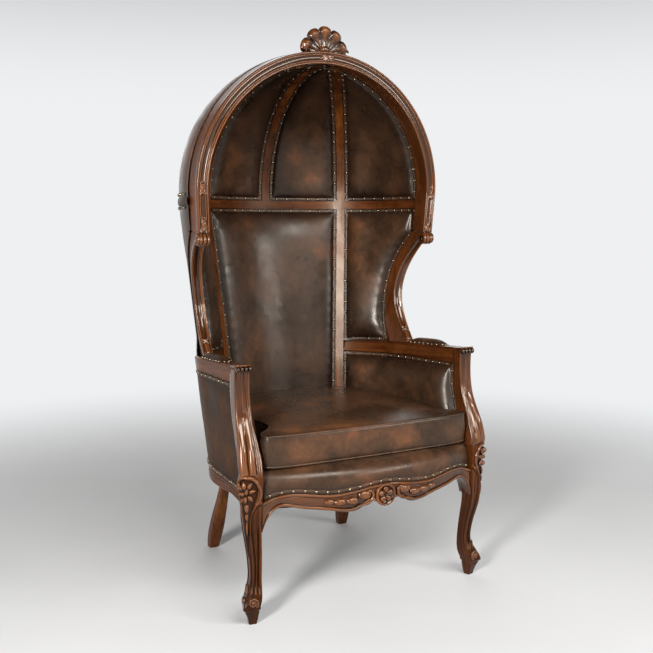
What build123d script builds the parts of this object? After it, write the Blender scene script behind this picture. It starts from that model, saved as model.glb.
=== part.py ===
from build123d import *
import os
from math import atan2, cos, degrees, radians, sin, sqrt, tan

# Hall porter chair: a hooded leather armchair on a carved mahogany frame.
# Millimetres, +Z up, floor at zero. The chair faces -Y and is symmetric about X = 0.
# Left and right are those of someone who stands in front of the chair and looks at it.
# Every layer of the body lies between an inner face, share 0, and an outer face, share 1.

os.makedirs("parts", exist_ok=True)

# Seat frame: the ring of rails that carries everything
rail_bottom_z = 314
rail_height = 42
base_inner_radius = 323
base_wall = 39
base_inner_center_y = -77
base_center_shift = 20
base_inner_half_front = 346
base_front_wall = 26
side_rail_inner_share = 0.05

# Hood: a barrel behind the arch, closed by a quarter of a sphere, on a timber band
band_bottom_z = 1158
band_width = 27
spring_z = 1204
hood_radius = 380
hood_build = 58
hood_center_y = -4

# Layers of the body, as shares of its thickness from inside to outside
panel_inner_share = 0.05
panel_outer_share = 0.3
shell_outer_share = 0.5

# Timber ribs between the leather panels
rib_width = 27
rib_angle = 32
rib_focus_y = -120

# Front arch and its finial
arch_front_y = -64
arch_lean = 3.6
arch_face = 38
arch_depth = 65
arch_leg_bottom_z = 1080
arch_flute_width = 13
arch_flute_depth = 5
finial_height = 78
finial_half_width = 83
finial_depth = 34
finial_lobes = 5
finial_lobe_radius = 21

# Wing stiles, from the arm rails up to the arch
stile_hollow = 131
stile_height_shares = (0, 0.22, 0.48, 0.74, 1)
stile_front_shares = (0.39, 0.8, 1, 0.76, 0)
stile_back_shares = (1.04, 1.21, 1.23, 1.06, 0.5)
volute_radius = 19
volute_width = 38
volute_drop = 23
volute_reach = 9

# Arms
arm_top_front_z = 720
arm_top_fall = 30
arm_rail_front_depth = 50
arm_rail_back_depth = 37
arm_back_y = 260
arm_seam_y = 80
arm_pad_front_y = -175
arm_pad_back_y = -14
arm_pad_crown = 15
arm_pad_inner_share = 0.1
arm_pad_outer_share = 0.9
post_width = 44
post_center_x = 378
post_rake = 68
post_height_shares = (0, 0.25, 0.5, 0.75, 1)
post_front_shares = (0, 0.38, 0.85, 1.04, 1)
post_back_shares = (0, 0.32, 0.71, 0.875, 0.85)

# Front legs
knee_size = 48
knee_center_x = 376
knee_center_y = -342
knee_bottom_z = 302
knee_top_z = 425
knee_lap = 6
knee_neck_share = 0.95
front_leg_sweep_x = 17
front_leg_sweep_y = 21
front_leg_height_shares = (0, 0.06, 0.15, 0.22, 0.35, 0.5, 0.66, 0.83)
front_leg_size_shares = (0.5, 0.58, 0.77, 0.79, 0.69, 0.67, 0.75, 0.86)
front_leg_x_shares = (0.12, 0.12, 0, 0.23, 0.82, 0.88, 0.59, 0.18)
front_leg_y_shares = (0.38, 0.33, 0.29, 0.43, 0.81, 0.71, 0.38, 0.05)
leg_corner_share = 0.22

# Back legs
back_leg_top_x = 228
back_leg_top_y = 195
back_leg_foot_x = 254
back_leg_foot_y = 277
back_leg_top_size = 44
back_leg_waist_size = 34
back_leg_hoof_size = 42
back_leg_foot_size = 32
back_leg_height_shares = (0, 0.16, 0.55, 1)
back_leg_splay_shares = (1, 0.84, 0.4, 0)

# Front seat rail, bowed in plan and serpentine along both edges
front_rail_radius = 885
front_rail_y = -429
front_rail_depth = 45
front_rail_top_z = 374
front_rail_top_drop = 24
front_rail_bottom_z = 303
front_rail_bottom_rise = 29
front_rail_x_shares = (0, 0.14, 0.24, 0.34, 0.46, 0.58, 0.72, 0.86, 1)
front_rail_top_shares = (0, 0.2, 0.42, 0.58, 0.67, 0.5, 0.25, 0.33, 1)
front_rail_bottom_shares = (0.1, 0.72, 0.12, 0, 0.25, 0.5, 0.76, 1, 0.1)
roundel_radius = 33
roundel_depth = 5

# Seat
border_round = 18
web_width = 60
web_thickness = 2
web_count = 5
web_bearing = 8
foam_thickness = 71
deck_thickness = 6
fit_gap = 0.3
dust_cover_thickness = 2
seat_clearance = 3
cushion_height = 95
cushion_crown = 10
cushion_side_clearance = 9
cushion_front_y = -374
cushion_bow = 26
cushion_ear_depth = 58
cushion_notch = 24
cushion_taper = 3

# Blocks and screws in the corners of the seat frame
block_reach = 75
block_height = 30
block_depth = 26
screw_radius = 2.5
screw_length = 46
screw_head_radius = 4.5
screw_head_height = 3

# Worked out from the sizes above
finial_top_z = spring_z + hood_radius + arch_face + finial_height
base_outer_radius = base_inner_radius + base_wall
base_outer_center_y = base_inner_center_y + base_center_shift
base_outer_half_front = base_inner_half_front + base_front_wall
front_rail_half_width = knee_center_x - knee_size / 2
reach = 2 * finial_top_z
rail_top_z = rail_bottom_z + rail_height
band_top_z = band_bottom_z + band_width
side_front_y = knee_center_y + knee_size / 2
arch_share = arch_face / hood_build
arch_slope = tan(radians(arch_lean))
arch_back_offset = arch_depth / cos(radians(arch_lean))
arm_length = arm_back_y - side_front_y
knee_front_y = knee_center_y - knee_size / 2
web_top_z = rail_top_z + 2 * web_thickness
deck_top_z = web_top_z + foam_thickness + deck_thickness
rib_sin = sin(radians(rib_angle))
rib_cos = cos(radians(rib_angle))
front_rail_center_y = front_rail_y + front_rail_radius


def between(low, high, share):
    """The value at a share of the way from low to high."""
    return low + (high - low) * share


def level(z, share):
    """Radius, centre and front half width of the body's plan at a height and layer."""
    rise = (z - rail_bottom_z) / (band_bottom_z - rail_bottom_z)
    hood = hood_radius + share * hood_build
    radius = between(between(base_inner_radius, base_outer_radius, share), hood, rise)
    base_center_y = between(base_inner_center_y, base_outer_center_y, share)
    center_y = between(base_center_y, hood_center_y, rise)
    base_front = between(base_inner_half_front, base_outer_half_front, share)
    half_front = between(base_front, hood, rise)
    return radius, center_y, half_front


def arch_back_y(z):
    """Where the back of the leaning arch stands at a height."""
    return arch_front_y + arch_back_offset - (z - spring_z) * arch_slope


def arm_top_z(y):
    """Top of the falling arm rail."""
    return arm_top_front_z - arm_top_fall * (y - side_front_y) / arm_length


def arm_under_z(y):
    """Underside of the arm rail."""
    depth = between(arm_rail_front_depth, arm_rail_back_depth, (y - side_front_y) / arm_length)
    return arm_top_z(y) - depth


def stile_points(shares):
    """Points of one edge of the wing stile in side view, from the arm rail up."""
    bottom_z = arm_top_z(arm_seam_y)
    top_y = arch_back_y(arch_leg_bottom_z) - arch_back_offset
    heights = [between(bottom_z, arch_leg_bottom_z, share) for share in stile_height_shares]
    points = [(top_y + share * stile_hollow, z) for share, z in zip(shares, heights)]
    foot_y = points[0][0]
    return [(foot_y, arm_top_z(foot_y))] + points[1:]


def post_points(shares, first_y):
    """Points of one edge of the arm post in side view, from the knee up."""
    heights = [between(knee_top_z, arm_top_front_z, share) for share in post_height_shares]
    points = [(first_y + share * post_rake, z) for share, z in zip(shares, heights)]
    return points[:-1] + [(points[-1][0], arm_top_z(points[-1][0]))]


def tub_layer(inner, outer, low_z, high_z):
    """A layer of the raked, horseshoe shaped body between two heights."""
    with BuildPart() as layer:
        for z in (low_z, high_z):
            radius_in, center_in, front_in = level(z, inner)
            radius_out, center_out, front_out = level(z, outer)
            inner_side = (radius_in, center_in)
            outer_side = (radius_out, center_out)
            with BuildSketch(Plane.XY.offset(z)):
                with BuildLine():
                    Line((front_out, side_front_y), outer_side)
                    ThreePointArc(outer_side, (0, center_out + radius_out), (-radius_out, center_out))
                    Line((-radius_out, center_out), (-front_out, side_front_y))
                    Line((-front_out, side_front_y), (-front_in, side_front_y))
                    Line((-front_in, side_front_y), (-radius_in, center_in))
                    ThreePointArc((-radius_in, center_in), (0, center_in + radius_in), inner_side)
                    Line(inner_side, (front_in, side_front_y))
                    Line((front_in, side_front_y), (front_out, side_front_y))
                make_face()
        loft(ruled=True)
    return layer.part


def hood_layer(inner, outer, low_z):
    """A layer of the hood, from a height on its upright skirt over to the arch."""
    radius_in = hood_radius + inner * hood_build
    radius_out = hood_radius + outer * hood_build
    with BuildPart() as layer:
        with BuildSketch(Plane.XZ.offset(-hood_center_y)):
            with BuildLine():
                Line((radius_in, low_z), (radius_out, low_z))
                Line((radius_out, low_z), (radius_out, spring_z))
                RadiusArc((radius_out, spring_z), (0, spring_z + radius_out), -radius_out)
                Line((0, spring_z + radius_out), (0, spring_z + radius_in))
                RadiusArc((0, spring_z + radius_in), (radius_in, spring_z), radius_in)
                Line((radius_in, spring_z), (radius_in, low_z))
            make_face()
        revolve(axis=Axis((0, hood_center_y, 0), (0, 0, 1)), revolution_arc=180)
        with BuildSketch(Plane.XZ.offset(-hood_center_y)):
            with BuildLine():
                Line((radius_in, low_z), (radius_out, low_z))
                Line((radius_out, low_z), (radius_out, spring_z))
                ThreePointArc((radius_out, spring_z), (0, spring_z + radius_out), (-radius_out, spring_z))
                Line((-radius_out, spring_z), (-radius_out, low_z))
                Line((-radius_out, low_z), (-radius_in, low_z))
                Line((-radius_in, low_z), (-radius_in, spring_z))
                ThreePointArc((-radius_in, spring_z), (0, spring_z + radius_in), (radius_in, spring_z))
                Line((radius_in, spring_z), (radius_in, low_z))
            make_face()
        extrude(amount=hood_center_y - side_front_y)
    return layer.part


def write(part, name):
    """Labels one finished piece and writes its file."""
    part.label = name
    export_step(part, f"parts/{name}.step")


def write_pair(part, name):
    """Writes a right-hand piece and its mirror image on the left."""
    with BuildPart() as twin:
        mirror(part, about=Plane.YZ)
    write(part, f"{name}_right")
    write(twin.part, f"{name}_left")


# Zones in plan: right of the right-hand corner rib, under it, and between the two corner ribs
rib_shift = rib_width / 2 / rib_sin
outer_apex = (0, rib_focus_y - rib_shift)
inner_apex = (0, rib_focus_y + rib_shift)
outer_ray = (reach * rib_sin, outer_apex[1] + reach * rib_cos)
inner_ray = (reach * rib_sin, inner_apex[1] + reach * rib_cos)

with BuildPart() as side_zone:
    with BuildSketch():
        with BuildLine():
            Polyline(outer_apex, outer_ray, (reach, -reach), (0, -reach), close=True)
        make_face()
    extrude(amount=reach)

with BuildPart() as rib_zone:
    with BuildSketch():
        with BuildLine():
            Polyline(outer_apex, outer_ray, inner_ray, inner_apex, close=True)
        make_face()
    extrude(amount=reach)

with BuildPart() as back_zone:
    with BuildSketch():
        with BuildLine():
            Polyline(inner_apex, inner_ray, (-inner_ray[0], inner_ray[1]), close=True)
        make_face()
    extrude(amount=reach)

with BuildPart() as gore_zone:
    with BuildSketch():
        with BuildLine():
            gore_y = inner_apex[1] + rib_width / 2 * rib_cos / rib_sin
            Polyline((rib_width / 2, gore_y), inner_ray, (rib_width / 2, inner_ray[1]), close=True)
        make_face()
    extrude(amount=reach)

with BuildPart() as center_zone:
    with BuildSketch():
        with Locations((0, rib_focus_y)):
            Rectangle(rib_width, reach, align=(Align.CENTER, Align.MIN))
    extrude(amount=reach)

# Zones in side view: behind the arch, behind the wing stile and behind the arm post
arch_plane = Plane(
    origin=(0, arch_front_y, spring_z),
    x_dir=(1, 0, 0),
    z_dir=(0, -cos(radians(arch_lean)), -sin(radians(arch_lean))),
)
stile_front = stile_points(stile_front_shares)
stile_back = stile_points(stile_back_shares)
stile_back[-1] = (arch_back_y(arch_leg_bottom_z), arch_leg_bottom_z)
post_front = post_points(post_front_shares, knee_front_y)
post_back = post_points(post_back_shares, side_front_y)
arch_back_band = (arch_back_y(band_bottom_z), band_bottom_z)

with BuildPart() as hood_zone:
    with BuildSketch(arch_plane.offset(-arch_depth)):
        Rectangle(reach, reach)
    extrude(amount=-reach)

with BuildPart() as wing_zone:
    with BuildSketch(Plane.YZ):
        with BuildLine():
            Spline(*stile_back)
            Polyline(stile_back[-1], arch_back_band, (reach, band_bottom_z), (reach, arm_top_z(reach)))
            Line((reach, arm_top_z(reach)), stile_back[0])
        make_face()
    extrude(amount=reach)

with BuildPart() as cover_zone:
    with BuildSketch(Plane.YZ):
        with BuildLine():
            Spline(*stile_back)
            Polyline(stile_back[-1], arch_back_band, (reach, band_bottom_z), (reach, rail_top_z))
            Polyline((reach, rail_top_z), (stile_back[0][0], rail_top_z), stile_back[0])
        make_face()
    extrude(amount=reach, both=True)

with BuildPart() as stile_zone:
    with BuildSketch(Plane.YZ):
        with BuildLine():
            Spline(*stile_front)
            Line(stile_front[-1], stile_back[-1])
            Spline(*stile_back)
            Line(stile_back[0], stile_front[0])
        make_face()
    extrude(amount=reach)

with BuildPart() as arm_zone:
    with BuildSketch(Plane.YZ):
        with BuildLine():
            Spline(*post_back)
            Line(post_back[-1], (reach, arm_top_z(reach)))
            Line((reach, arm_top_z(reach)), (reach, rail_top_z))
            Polyline((reach, rail_top_z), (side_front_y, rail_top_z), post_back[0])
        make_face()
    extrude(amount=reach)

with BuildPart() as under_rail_zone:
    with BuildSketch(Plane.YZ):
        with BuildLine():
            Polyline(
                (side_front_y, arm_under_z(side_front_y)),
                (reach, arm_under_z(reach)),
                (reach, 0),
                (side_front_y, 0),
                close=True,
            )
        make_face()
    extrude(amount=reach)

with BuildPart() as front_of_seam_zone:
    with BuildSketch(Plane.YZ):
        with BuildLine():
            Polyline(
                (-reach, 0),
                (stile_back[0][0], 0),
                (stile_back[0][0], band_bottom_z),
                (-reach, band_bottom_z),
                close=True,
            )
        make_face()
    extrude(amount=reach)

# Front arch, one half a side, meeting at the crown
leg_inner = level(arch_leg_bottom_z, 0)[0]
leg_outer = level(arch_leg_bottom_z, arch_share)[0]
leg_drop = (arch_leg_bottom_z - spring_z) / cos(radians(arch_lean))
arch_outer = hood_radius + arch_face
flute_inner = hood_radius + (arch_face - arch_flute_width) / 2
flute_outer = flute_inner + arch_flute_width
with BuildPart() as arch:
    with BuildSketch(arch_plane):
        with BuildLine():
            RadiusArc((arch_outer, 0), (0, arch_outer), -arch_outer)
            Line((0, arch_outer), (0, hood_radius))
            RadiusArc((0, hood_radius), (hood_radius, 0), hood_radius)
            Polyline((hood_radius, 0), (leg_inner, leg_drop), (leg_outer, leg_drop), (arch_outer, 0))
        make_face()
    extrude(amount=-arch_depth)
    with BuildSketch(arch_plane):
        with BuildLine():
            RadiusArc((flute_outer, 0), (arch_flute_width, flute_outer), -flute_outer)
            Line((arch_flute_width, flute_outer), (arch_flute_width, flute_inner))
            RadiusArc((arch_flute_width, flute_inner), (flute_inner, 0), flute_inner)
            Line((flute_inner, 0), (flute_outer, 0))
        make_face()
    extrude(amount=-arch_flute_depth, mode=Mode.SUBTRACT)
    with BuildSketch(Plane.XY.offset(arch_leg_bottom_z)):
        Rectangle(reach, reach)
    extrude(amount=reach, mode=Mode.INTERSECT)
write_pair(arch.part, "arch")

# Shell finial, a fan of lobes standing on the arch
finial_base_z = spring_z + arch_outer
finial_y = arch_back_y(finial_base_z) - arch_back_offset + arch_depth / 2
finial_reach = finial_top_z - finial_base_z - finial_lobe_radius
with BuildPart() as finial_shell:
    with BuildSketch(Plane.XZ.offset(-finial_y)):
        with Locations((0, finial_base_z)):
            Ellipse(finial_half_width - finial_lobe_radius, finial_reach)
        for lobe in range(finial_lobes):
            angle = radians(180 * (lobe + 0.5) / finial_lobes)
            widest = cos(radians(90 / finial_lobes))
            across = (finial_half_width - finial_lobe_radius) * cos(angle) / widest
            with Locations((across, finial_base_z + finial_reach * sin(angle))):
                Circle(finial_lobe_radius)
    extrude(amount=finial_depth / 2, both=True)
    with BuildSketch(arch_plane):
        Circle(arch_outer)
    extrude(amount=reach, both=True, mode=Mode.SUBTRACT)
write(finial_shell.part, "finial_shell")

# Wing stiles and the gadrooned volutes where they meet the arch
stile_layer = tub_layer(0, arch_share, rail_top_z, arch_leg_bottom_z)
with BuildPart() as wing_stile:
    add(stile_layer)
    add(stile_zone.part, mode=Mode.INTERSECT)
write_pair(wing_stile.part, "wing_stile")

volute_z = arch_leg_bottom_z - volute_drop
volute_y = stile_front[-1][0] + volute_reach
with BuildPart() as volute:
    with BuildSketch(Plane.YZ.offset((leg_inner + leg_outer) / 2)):
        with Locations((volute_y, volute_z)):
            Circle(volute_radius)
    extrude(amount=volute_width / 2, both=True)
    fillet(volute.edges().filter_by(GeomType.CIRCLE), volute_radius / 4)
    add(wing_stile.part, mode=Mode.SUBTRACT)
write_pair(volute.part, "volute")

# Timber band round the hood, and the ribs that run from it to the arch and down to the seat
with BuildPart() as hood_band:
    add(hood_layer(0, shell_outer_share, band_bottom_z))
    add(hood_zone.part, mode=Mode.INTERSECT)
    with BuildSketch(Plane.XY.offset(band_bottom_z)):
        Rectangle(reach, reach)
    extrude(amount=band_width, mode=Mode.INTERSECT)
write(hood_band.part, "hood_band")

hood_rib_layer = hood_layer(0, panel_outer_share, band_top_z)
with BuildPart() as hood_rib:
    add(hood_rib_layer)
    add(hood_zone.part, mode=Mode.INTERSECT)
    add(rib_zone.part, mode=Mode.INTERSECT)
write_pair(hood_rib.part, "hood_rib")

with BuildPart() as hood_rib_center:
    add(hood_rib_layer)
    add(hood_zone.part, mode=Mode.INTERSECT)
    add(center_zone.part, mode=Mode.INTERSECT)
write(hood_rib_center.part, "hood_rib_center")

with BuildPart() as back_stile:
    add(tub_layer(0, panel_outer_share, web_top_z, band_bottom_z))
    add(rib_zone.part, mode=Mode.INTERSECT)
write_pair(back_stile.part, "back_stile")

# Leather panels inside the hood and the body
hood_panel_layer = hood_layer(panel_inner_share, panel_outer_share, band_top_z)
with BuildPart() as hood_side_panel:
    add(hood_panel_layer)
    add(hood_zone.part, mode=Mode.INTERSECT)
    add(side_zone.part, mode=Mode.INTERSECT)
write_pair(hood_side_panel.part, "hood_side_panel")

with BuildPart() as hood_back_panel:
    add(hood_panel_layer)
    add(hood_zone.part, mode=Mode.INTERSECT)
    add(gore_zone.part, mode=Mode.INTERSECT)
write_pair(hood_back_panel.part, "hood_back_panel")

panel_layer = tub_layer(panel_inner_share, panel_outer_share, web_top_z, band_bottom_z)
with BuildPart() as back_panel:
    add(panel_layer)
    add(back_zone.part, mode=Mode.INTERSECT)
write(back_panel.part, "back_panel")

with BuildPart() as wing_panel:
    add(panel_layer)
    add(wing_zone.part, mode=Mode.INTERSECT)
    add(side_zone.part, mode=Mode.INTERSECT)
write_pair(wing_panel.part, "wing_panel")

with BuildPart() as inside_arm:
    add(panel_layer)
    add(arm_zone.part, mode=Mode.INTERSECT)
    add(under_rail_zone.part, mode=Mode.INTERSECT)
    add(side_zone.part, mode=Mode.INTERSECT)
write_pair(inside_arm.part, "inside_arm")

# Plywood shells between the inside and the outside leather
with BuildPart() as hood_shell:
    add(hood_layer(panel_outer_share, shell_outer_share, band_top_z))
    add(hood_zone.part, mode=Mode.INTERSECT)
write(hood_shell.part, "hood_shell")

shell_layer = tub_layer(panel_outer_share, shell_outer_share, rail_top_z, band_bottom_z)
with BuildPart() as back_shell:
    add(shell_layer)
    add(cover_zone.part, mode=Mode.INTERSECT)
write(back_shell.part, "back_shell")

with BuildPart() as arm_shell:
    add(shell_layer)
    add(arm_zone.part, mode=Mode.INTERSECT)
    add(under_rail_zone.part, mode=Mode.INTERSECT)
    add(front_of_seam_zone.part, mode=Mode.INTERSECT)
write_pair(arm_shell.part, "arm_shell")

# Outside leather over its wadding
with BuildPart() as outer_hood_cover:
    add(hood_layer(shell_outer_share, 1, band_top_z))
    add(hood_zone.part, mode=Mode.INTERSECT)
write(outer_hood_cover.part, "outer_hood_cover")

with BuildPart() as outer_band:
    add(hood_layer(shell_outer_share, 1, band_bottom_z))
    add(hood_zone.part, mode=Mode.INTERSECT)
    with BuildSketch(Plane.XY.offset(band_bottom_z)):
        Rectangle(reach, reach)
    extrude(amount=band_width, mode=Mode.INTERSECT)
write(outer_band.part, "outer_band")

cover_layer = tub_layer(shell_outer_share, 1, rail_top_z, band_bottom_z)
with BuildPart() as outer_back_cover:
    add(cover_layer)
    add(cover_zone.part, mode=Mode.INTERSECT)
write(outer_back_cover.part, "outer_back_cover")

with BuildPart() as outer_arm:
    add(cover_layer)
    add(arm_zone.part, mode=Mode.INTERSECT)
    add(under_rail_zone.part, mode=Mode.INTERSECT)
    add(front_of_seam_zone.part, mode=Mode.INTERSECT)
write_pair(outer_arm.part, "outer_arm")

# Arm rails, whole in front of the seam and only the inner half behind it, and their leather pads
with BuildPart() as arm_rail:
    add(tub_layer(0, 1, rail_top_z, band_bottom_z))
    add(arm_zone.part, mode=Mode.INTERSECT)
    add(under_rail_zone.part, mode=Mode.SUBTRACT)
    add(front_of_seam_zone.part, mode=Mode.INTERSECT)
with BuildPart() as arm_rail_whole:
    add(tub_layer(0, panel_outer_share, rail_top_z, band_bottom_z))
    add(arm_zone.part, mode=Mode.INTERSECT)
    add(under_rail_zone.part, mode=Mode.SUBTRACT)
    add(side_zone.part, mode=Mode.INTERSECT)
    add(arm_rail.part)
write_pair(arm_rail_whole.part, "arm_rail")

pad_middle_y = (arm_pad_front_y + arm_pad_back_y) / 2
with BuildPart() as arm_pad:
    add(tub_layer(arm_pad_inner_share, arm_pad_outer_share, rail_top_z, band_bottom_z))
    with BuildSketch(Plane.YZ):
        with BuildLine():
            Line((arm_pad_front_y, arm_top_z(arm_pad_front_y)), (arm_pad_back_y, arm_top_z(arm_pad_back_y)))
            ThreePointArc(
                (arm_pad_back_y, arm_top_z(arm_pad_back_y)),
                (pad_middle_y, arm_top_z(pad_middle_y) + arm_pad_crown),
                (arm_pad_front_y, arm_top_z(arm_pad_front_y)),
            )
        make_face()
    extrude(amount=reach, mode=Mode.INTERSECT)
write_pair(arm_pad.part, "arm_pad")

# Arm posts and cabriole front legs
with BuildPart() as arm_post:
    with BuildSketch(Plane.YZ.offset(post_center_x)):
        with BuildLine():
            Spline(*post_front)
            Line(post_front[-1], post_back[-1])
            Spline(*post_back)
            Line(post_back[0], post_front[0])
        make_face()
    extrude(amount=post_width / 2, both=True)
write_pair(arm_post.part, "arm_post")

with BuildPart() as front_leg:
    for height_share, size_share, x_share, y_share in zip(
        front_leg_height_shares, front_leg_size_shares, front_leg_x_shares, front_leg_y_shares
    ):
        size = size_share * knee_size
        center_x = knee_center_x - x_share * front_leg_sweep_x
        center_y = knee_center_y + y_share * front_leg_sweep_y
        with BuildSketch(Plane((center_x, center_y, height_share * knee_bottom_z))):
            RectangleRounded(size, size, size * leg_corner_share)
    neck = knee_neck_share * knee_size
    with BuildSketch(Plane((knee_center_x, knee_center_y, knee_bottom_z))):
        RectangleRounded(neck, neck, neck * leg_corner_share)
    loft()
    with BuildSketch(Plane((knee_center_x, knee_center_y, knee_bottom_z - knee_lap))):
        Rectangle(knee_size, knee_size)
    extrude(amount=knee_top_z - knee_bottom_z + knee_lap)
write_pair(front_leg.part, "front_leg")

back_leg_sizes = (back_leg_foot_size, back_leg_hoof_size, back_leg_waist_size, back_leg_top_size)
with BuildPart() as back_leg:
    for height_share, splay_share, size in zip(
        back_leg_height_shares, back_leg_splay_shares, back_leg_sizes
    ):
        center_x = between(back_leg_top_x, back_leg_foot_x, splay_share)
        center_y = between(back_leg_top_y, back_leg_foot_y, splay_share)
        with BuildSketch(Plane((center_x, center_y, height_share * rail_bottom_z))):
            RectangleRounded(size, size, size * leg_corner_share)
    loft()
write_pair(back_leg.part, "back_leg")

# Seat rails: serpentine in front, straight at the sides, bent round the back
rail_edge_x = [share * front_rail_half_width for share in front_rail_x_shares]
rail_top_edge = [
    (x, front_rail_top_z - share * front_rail_top_drop)
    for x, share in zip(rail_edge_x, front_rail_top_shares)
]
rail_bottom_edge = [
    (x, front_rail_bottom_z + share * front_rail_bottom_rise)
    for x, share in zip(rail_edge_x, front_rail_bottom_shares)
]
rail_inner_radius = front_rail_radius - front_rail_depth
with BuildPart() as bow_zone:
    with BuildSketch():
        with Locations((0, front_rail_center_y)):
            Circle(front_rail_radius)
            Circle(rail_inner_radius, mode=Mode.SUBTRACT)
        with Locations((0, side_front_y)):
            Rectangle(
                2 * front_rail_half_width, reach, align=(Align.CENTER, Align.MAX), mode=Mode.INTERSECT
            )
    extrude(amount=deck_top_z)

with BuildPart() as front_seat_rail:
    with BuildSketch(Plane.XZ):
        with BuildLine():
            Spline(*rail_top_edge, tangents=((1, 0), (1, -1)))
            Line(rail_top_edge[-1], rail_bottom_edge[-1])
            Spline(*rail_bottom_edge)
            Line(rail_bottom_edge[0], rail_top_edge[0])
        make_face()
        mirror(about=Plane.YZ)
    extrude(amount=reach, mode=Mode.ADD)
    add(bow_zone.part, mode=Mode.INTERSECT)
    with BuildSketch(Plane.XZ.offset(-front_rail_y - front_rail_depth / 2)):
        with Locations((0, front_rail_bottom_z + roundel_radius)):
            Circle(roundel_radius)
    extrude(amount=front_rail_depth / 2 + roundel_depth)
write(front_seat_rail.part, "front_seat_rail")

with BuildPart() as front_border:
    add(bow_zone.part)
    with BuildSketch(Plane.XZ):
        with BuildLine():
            Spline(*rail_top_edge, tangents=((1, 0), (1, -1)))
            Polyline(rail_top_edge[-1], (front_rail_half_width, reach), (0, reach), rail_top_edge[0])
        make_face()
        mirror(about=Plane.YZ)
    extrude(amount=reach, mode=Mode.INTERSECT)
    fillet(
        front_border.edges().filter_by(GeomType.CIRCLE).group_by(Axis.Z)[-1].sort_by(Axis.Y)[0],
        border_round,
    )
write(front_border.part, "front_border")

rail_ring = tub_layer(side_rail_inner_share, 1, rail_bottom_z, rail_top_z)
with BuildPart() as side_rail:
    add(rail_ring)
    with BuildSketch():
        with BuildLine():
            Polyline((0, -reach), (reach, -reach), (reach, back_leg_top_y), (0, back_leg_top_y), close=True)
        make_face()
    extrude(amount=reach, mode=Mode.INTERSECT)
write_pair(side_rail.part, "side_rail")

with BuildPart() as back_seat_rail:
    add(rail_ring)
    with BuildSketch():
        with Locations((0, back_leg_top_y)):
            Rectangle(reach, reach, align=(Align.CENTER, Align.MIN))
    extrude(amount=reach, mode=Mode.INTERSECT)
write(back_seat_rail.part, "back_seat_rail")

# Webbing on the seat frame, foam on the webbing and a leather deck on the foam
def seat_outline(z, share, front_radius, clearance):
    """Plan of the seat well at a height and layer, closed in front by an arc of the bowed rail."""
    radius, center_y, half_front = level(z, share)
    radius = radius - clearance
    half_front = half_front - clearance
    front_y = front_rail_y
    with BuildSketch(Plane.XY.offset(z)) as outline:
        with BuildLine():
            Polyline((-radius, center_y), (-half_front, side_front_y), (-half_front, front_y))
            Line((-half_front, front_y), (half_front, front_y))
            Polyline((half_front, front_y), (half_front, side_front_y), (radius, center_y))
            ThreePointArc((radius, center_y), (0, center_y + radius), (-radius, center_y))
        make_face()
        with Locations((0, front_rail_center_y)):
            Circle(front_radius - clearance, mode=Mode.INTERSECT)
    return outline.sketch


web_zone = seat_outline(rail_top_z, 0, rail_inner_radius - web_bearing - fit_gap, -web_bearing)
web_front_y = front_rail_center_y - rail_inner_radius
web_back_y = level(rail_top_z, 0)[1] + level(rail_top_z, 0)[0]
web_pitch_x = 2 * level(rail_top_z, 0)[2] / (web_count + 0.5)
web_pitch_y = (web_back_y - web_front_y) / (web_count + 0.5)
with BuildPart() as seat_webbing:
    with BuildSketch(Plane.XY.offset(rail_top_z)):
        with Locations((0, (web_front_y + web_back_y) / 2)):
            with GridLocations(0, web_pitch_y, 1, web_count):
                Rectangle(reach, web_width)
    extrude(amount=web_thickness)
    with BuildSketch(Plane.XY.offset(rail_top_z + web_thickness)):
        with Locations((0, (web_front_y + web_back_y) / 2)):
            with GridLocations(web_pitch_x, 0, web_count, 1):
                Rectangle(web_width, reach)
    extrude(amount=web_thickness)
    extrude(web_zone, amount=2 * web_thickness, mode=Mode.INTERSECT)
write(seat_webbing.part, "seat_webbing")

with BuildPart() as seat_foam:
    foam_face = seat_outline(rail_top_z, 0, rail_inner_radius, seat_clearance)
    extrude(foam_face, amount=foam_thickness + 2 * web_thickness)
    with BuildSketch(Plane.XY.offset(rail_top_z)):
        Rectangle(reach, reach)
    extrude(amount=2 * web_thickness, mode=Mode.SUBTRACT)
write(seat_foam.part, "seat_foam")

deck_face = seat_outline(rail_top_z, 0, rail_inner_radius, fit_gap)
deck_lift = deck_top_z - deck_thickness - rail_top_z
with BuildPart() as seat_deck:
    extrude(deck_face.moved(Location((0, 0, deck_lift))), amount=deck_thickness)
write(seat_deck.part, "seat_deck")

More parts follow.
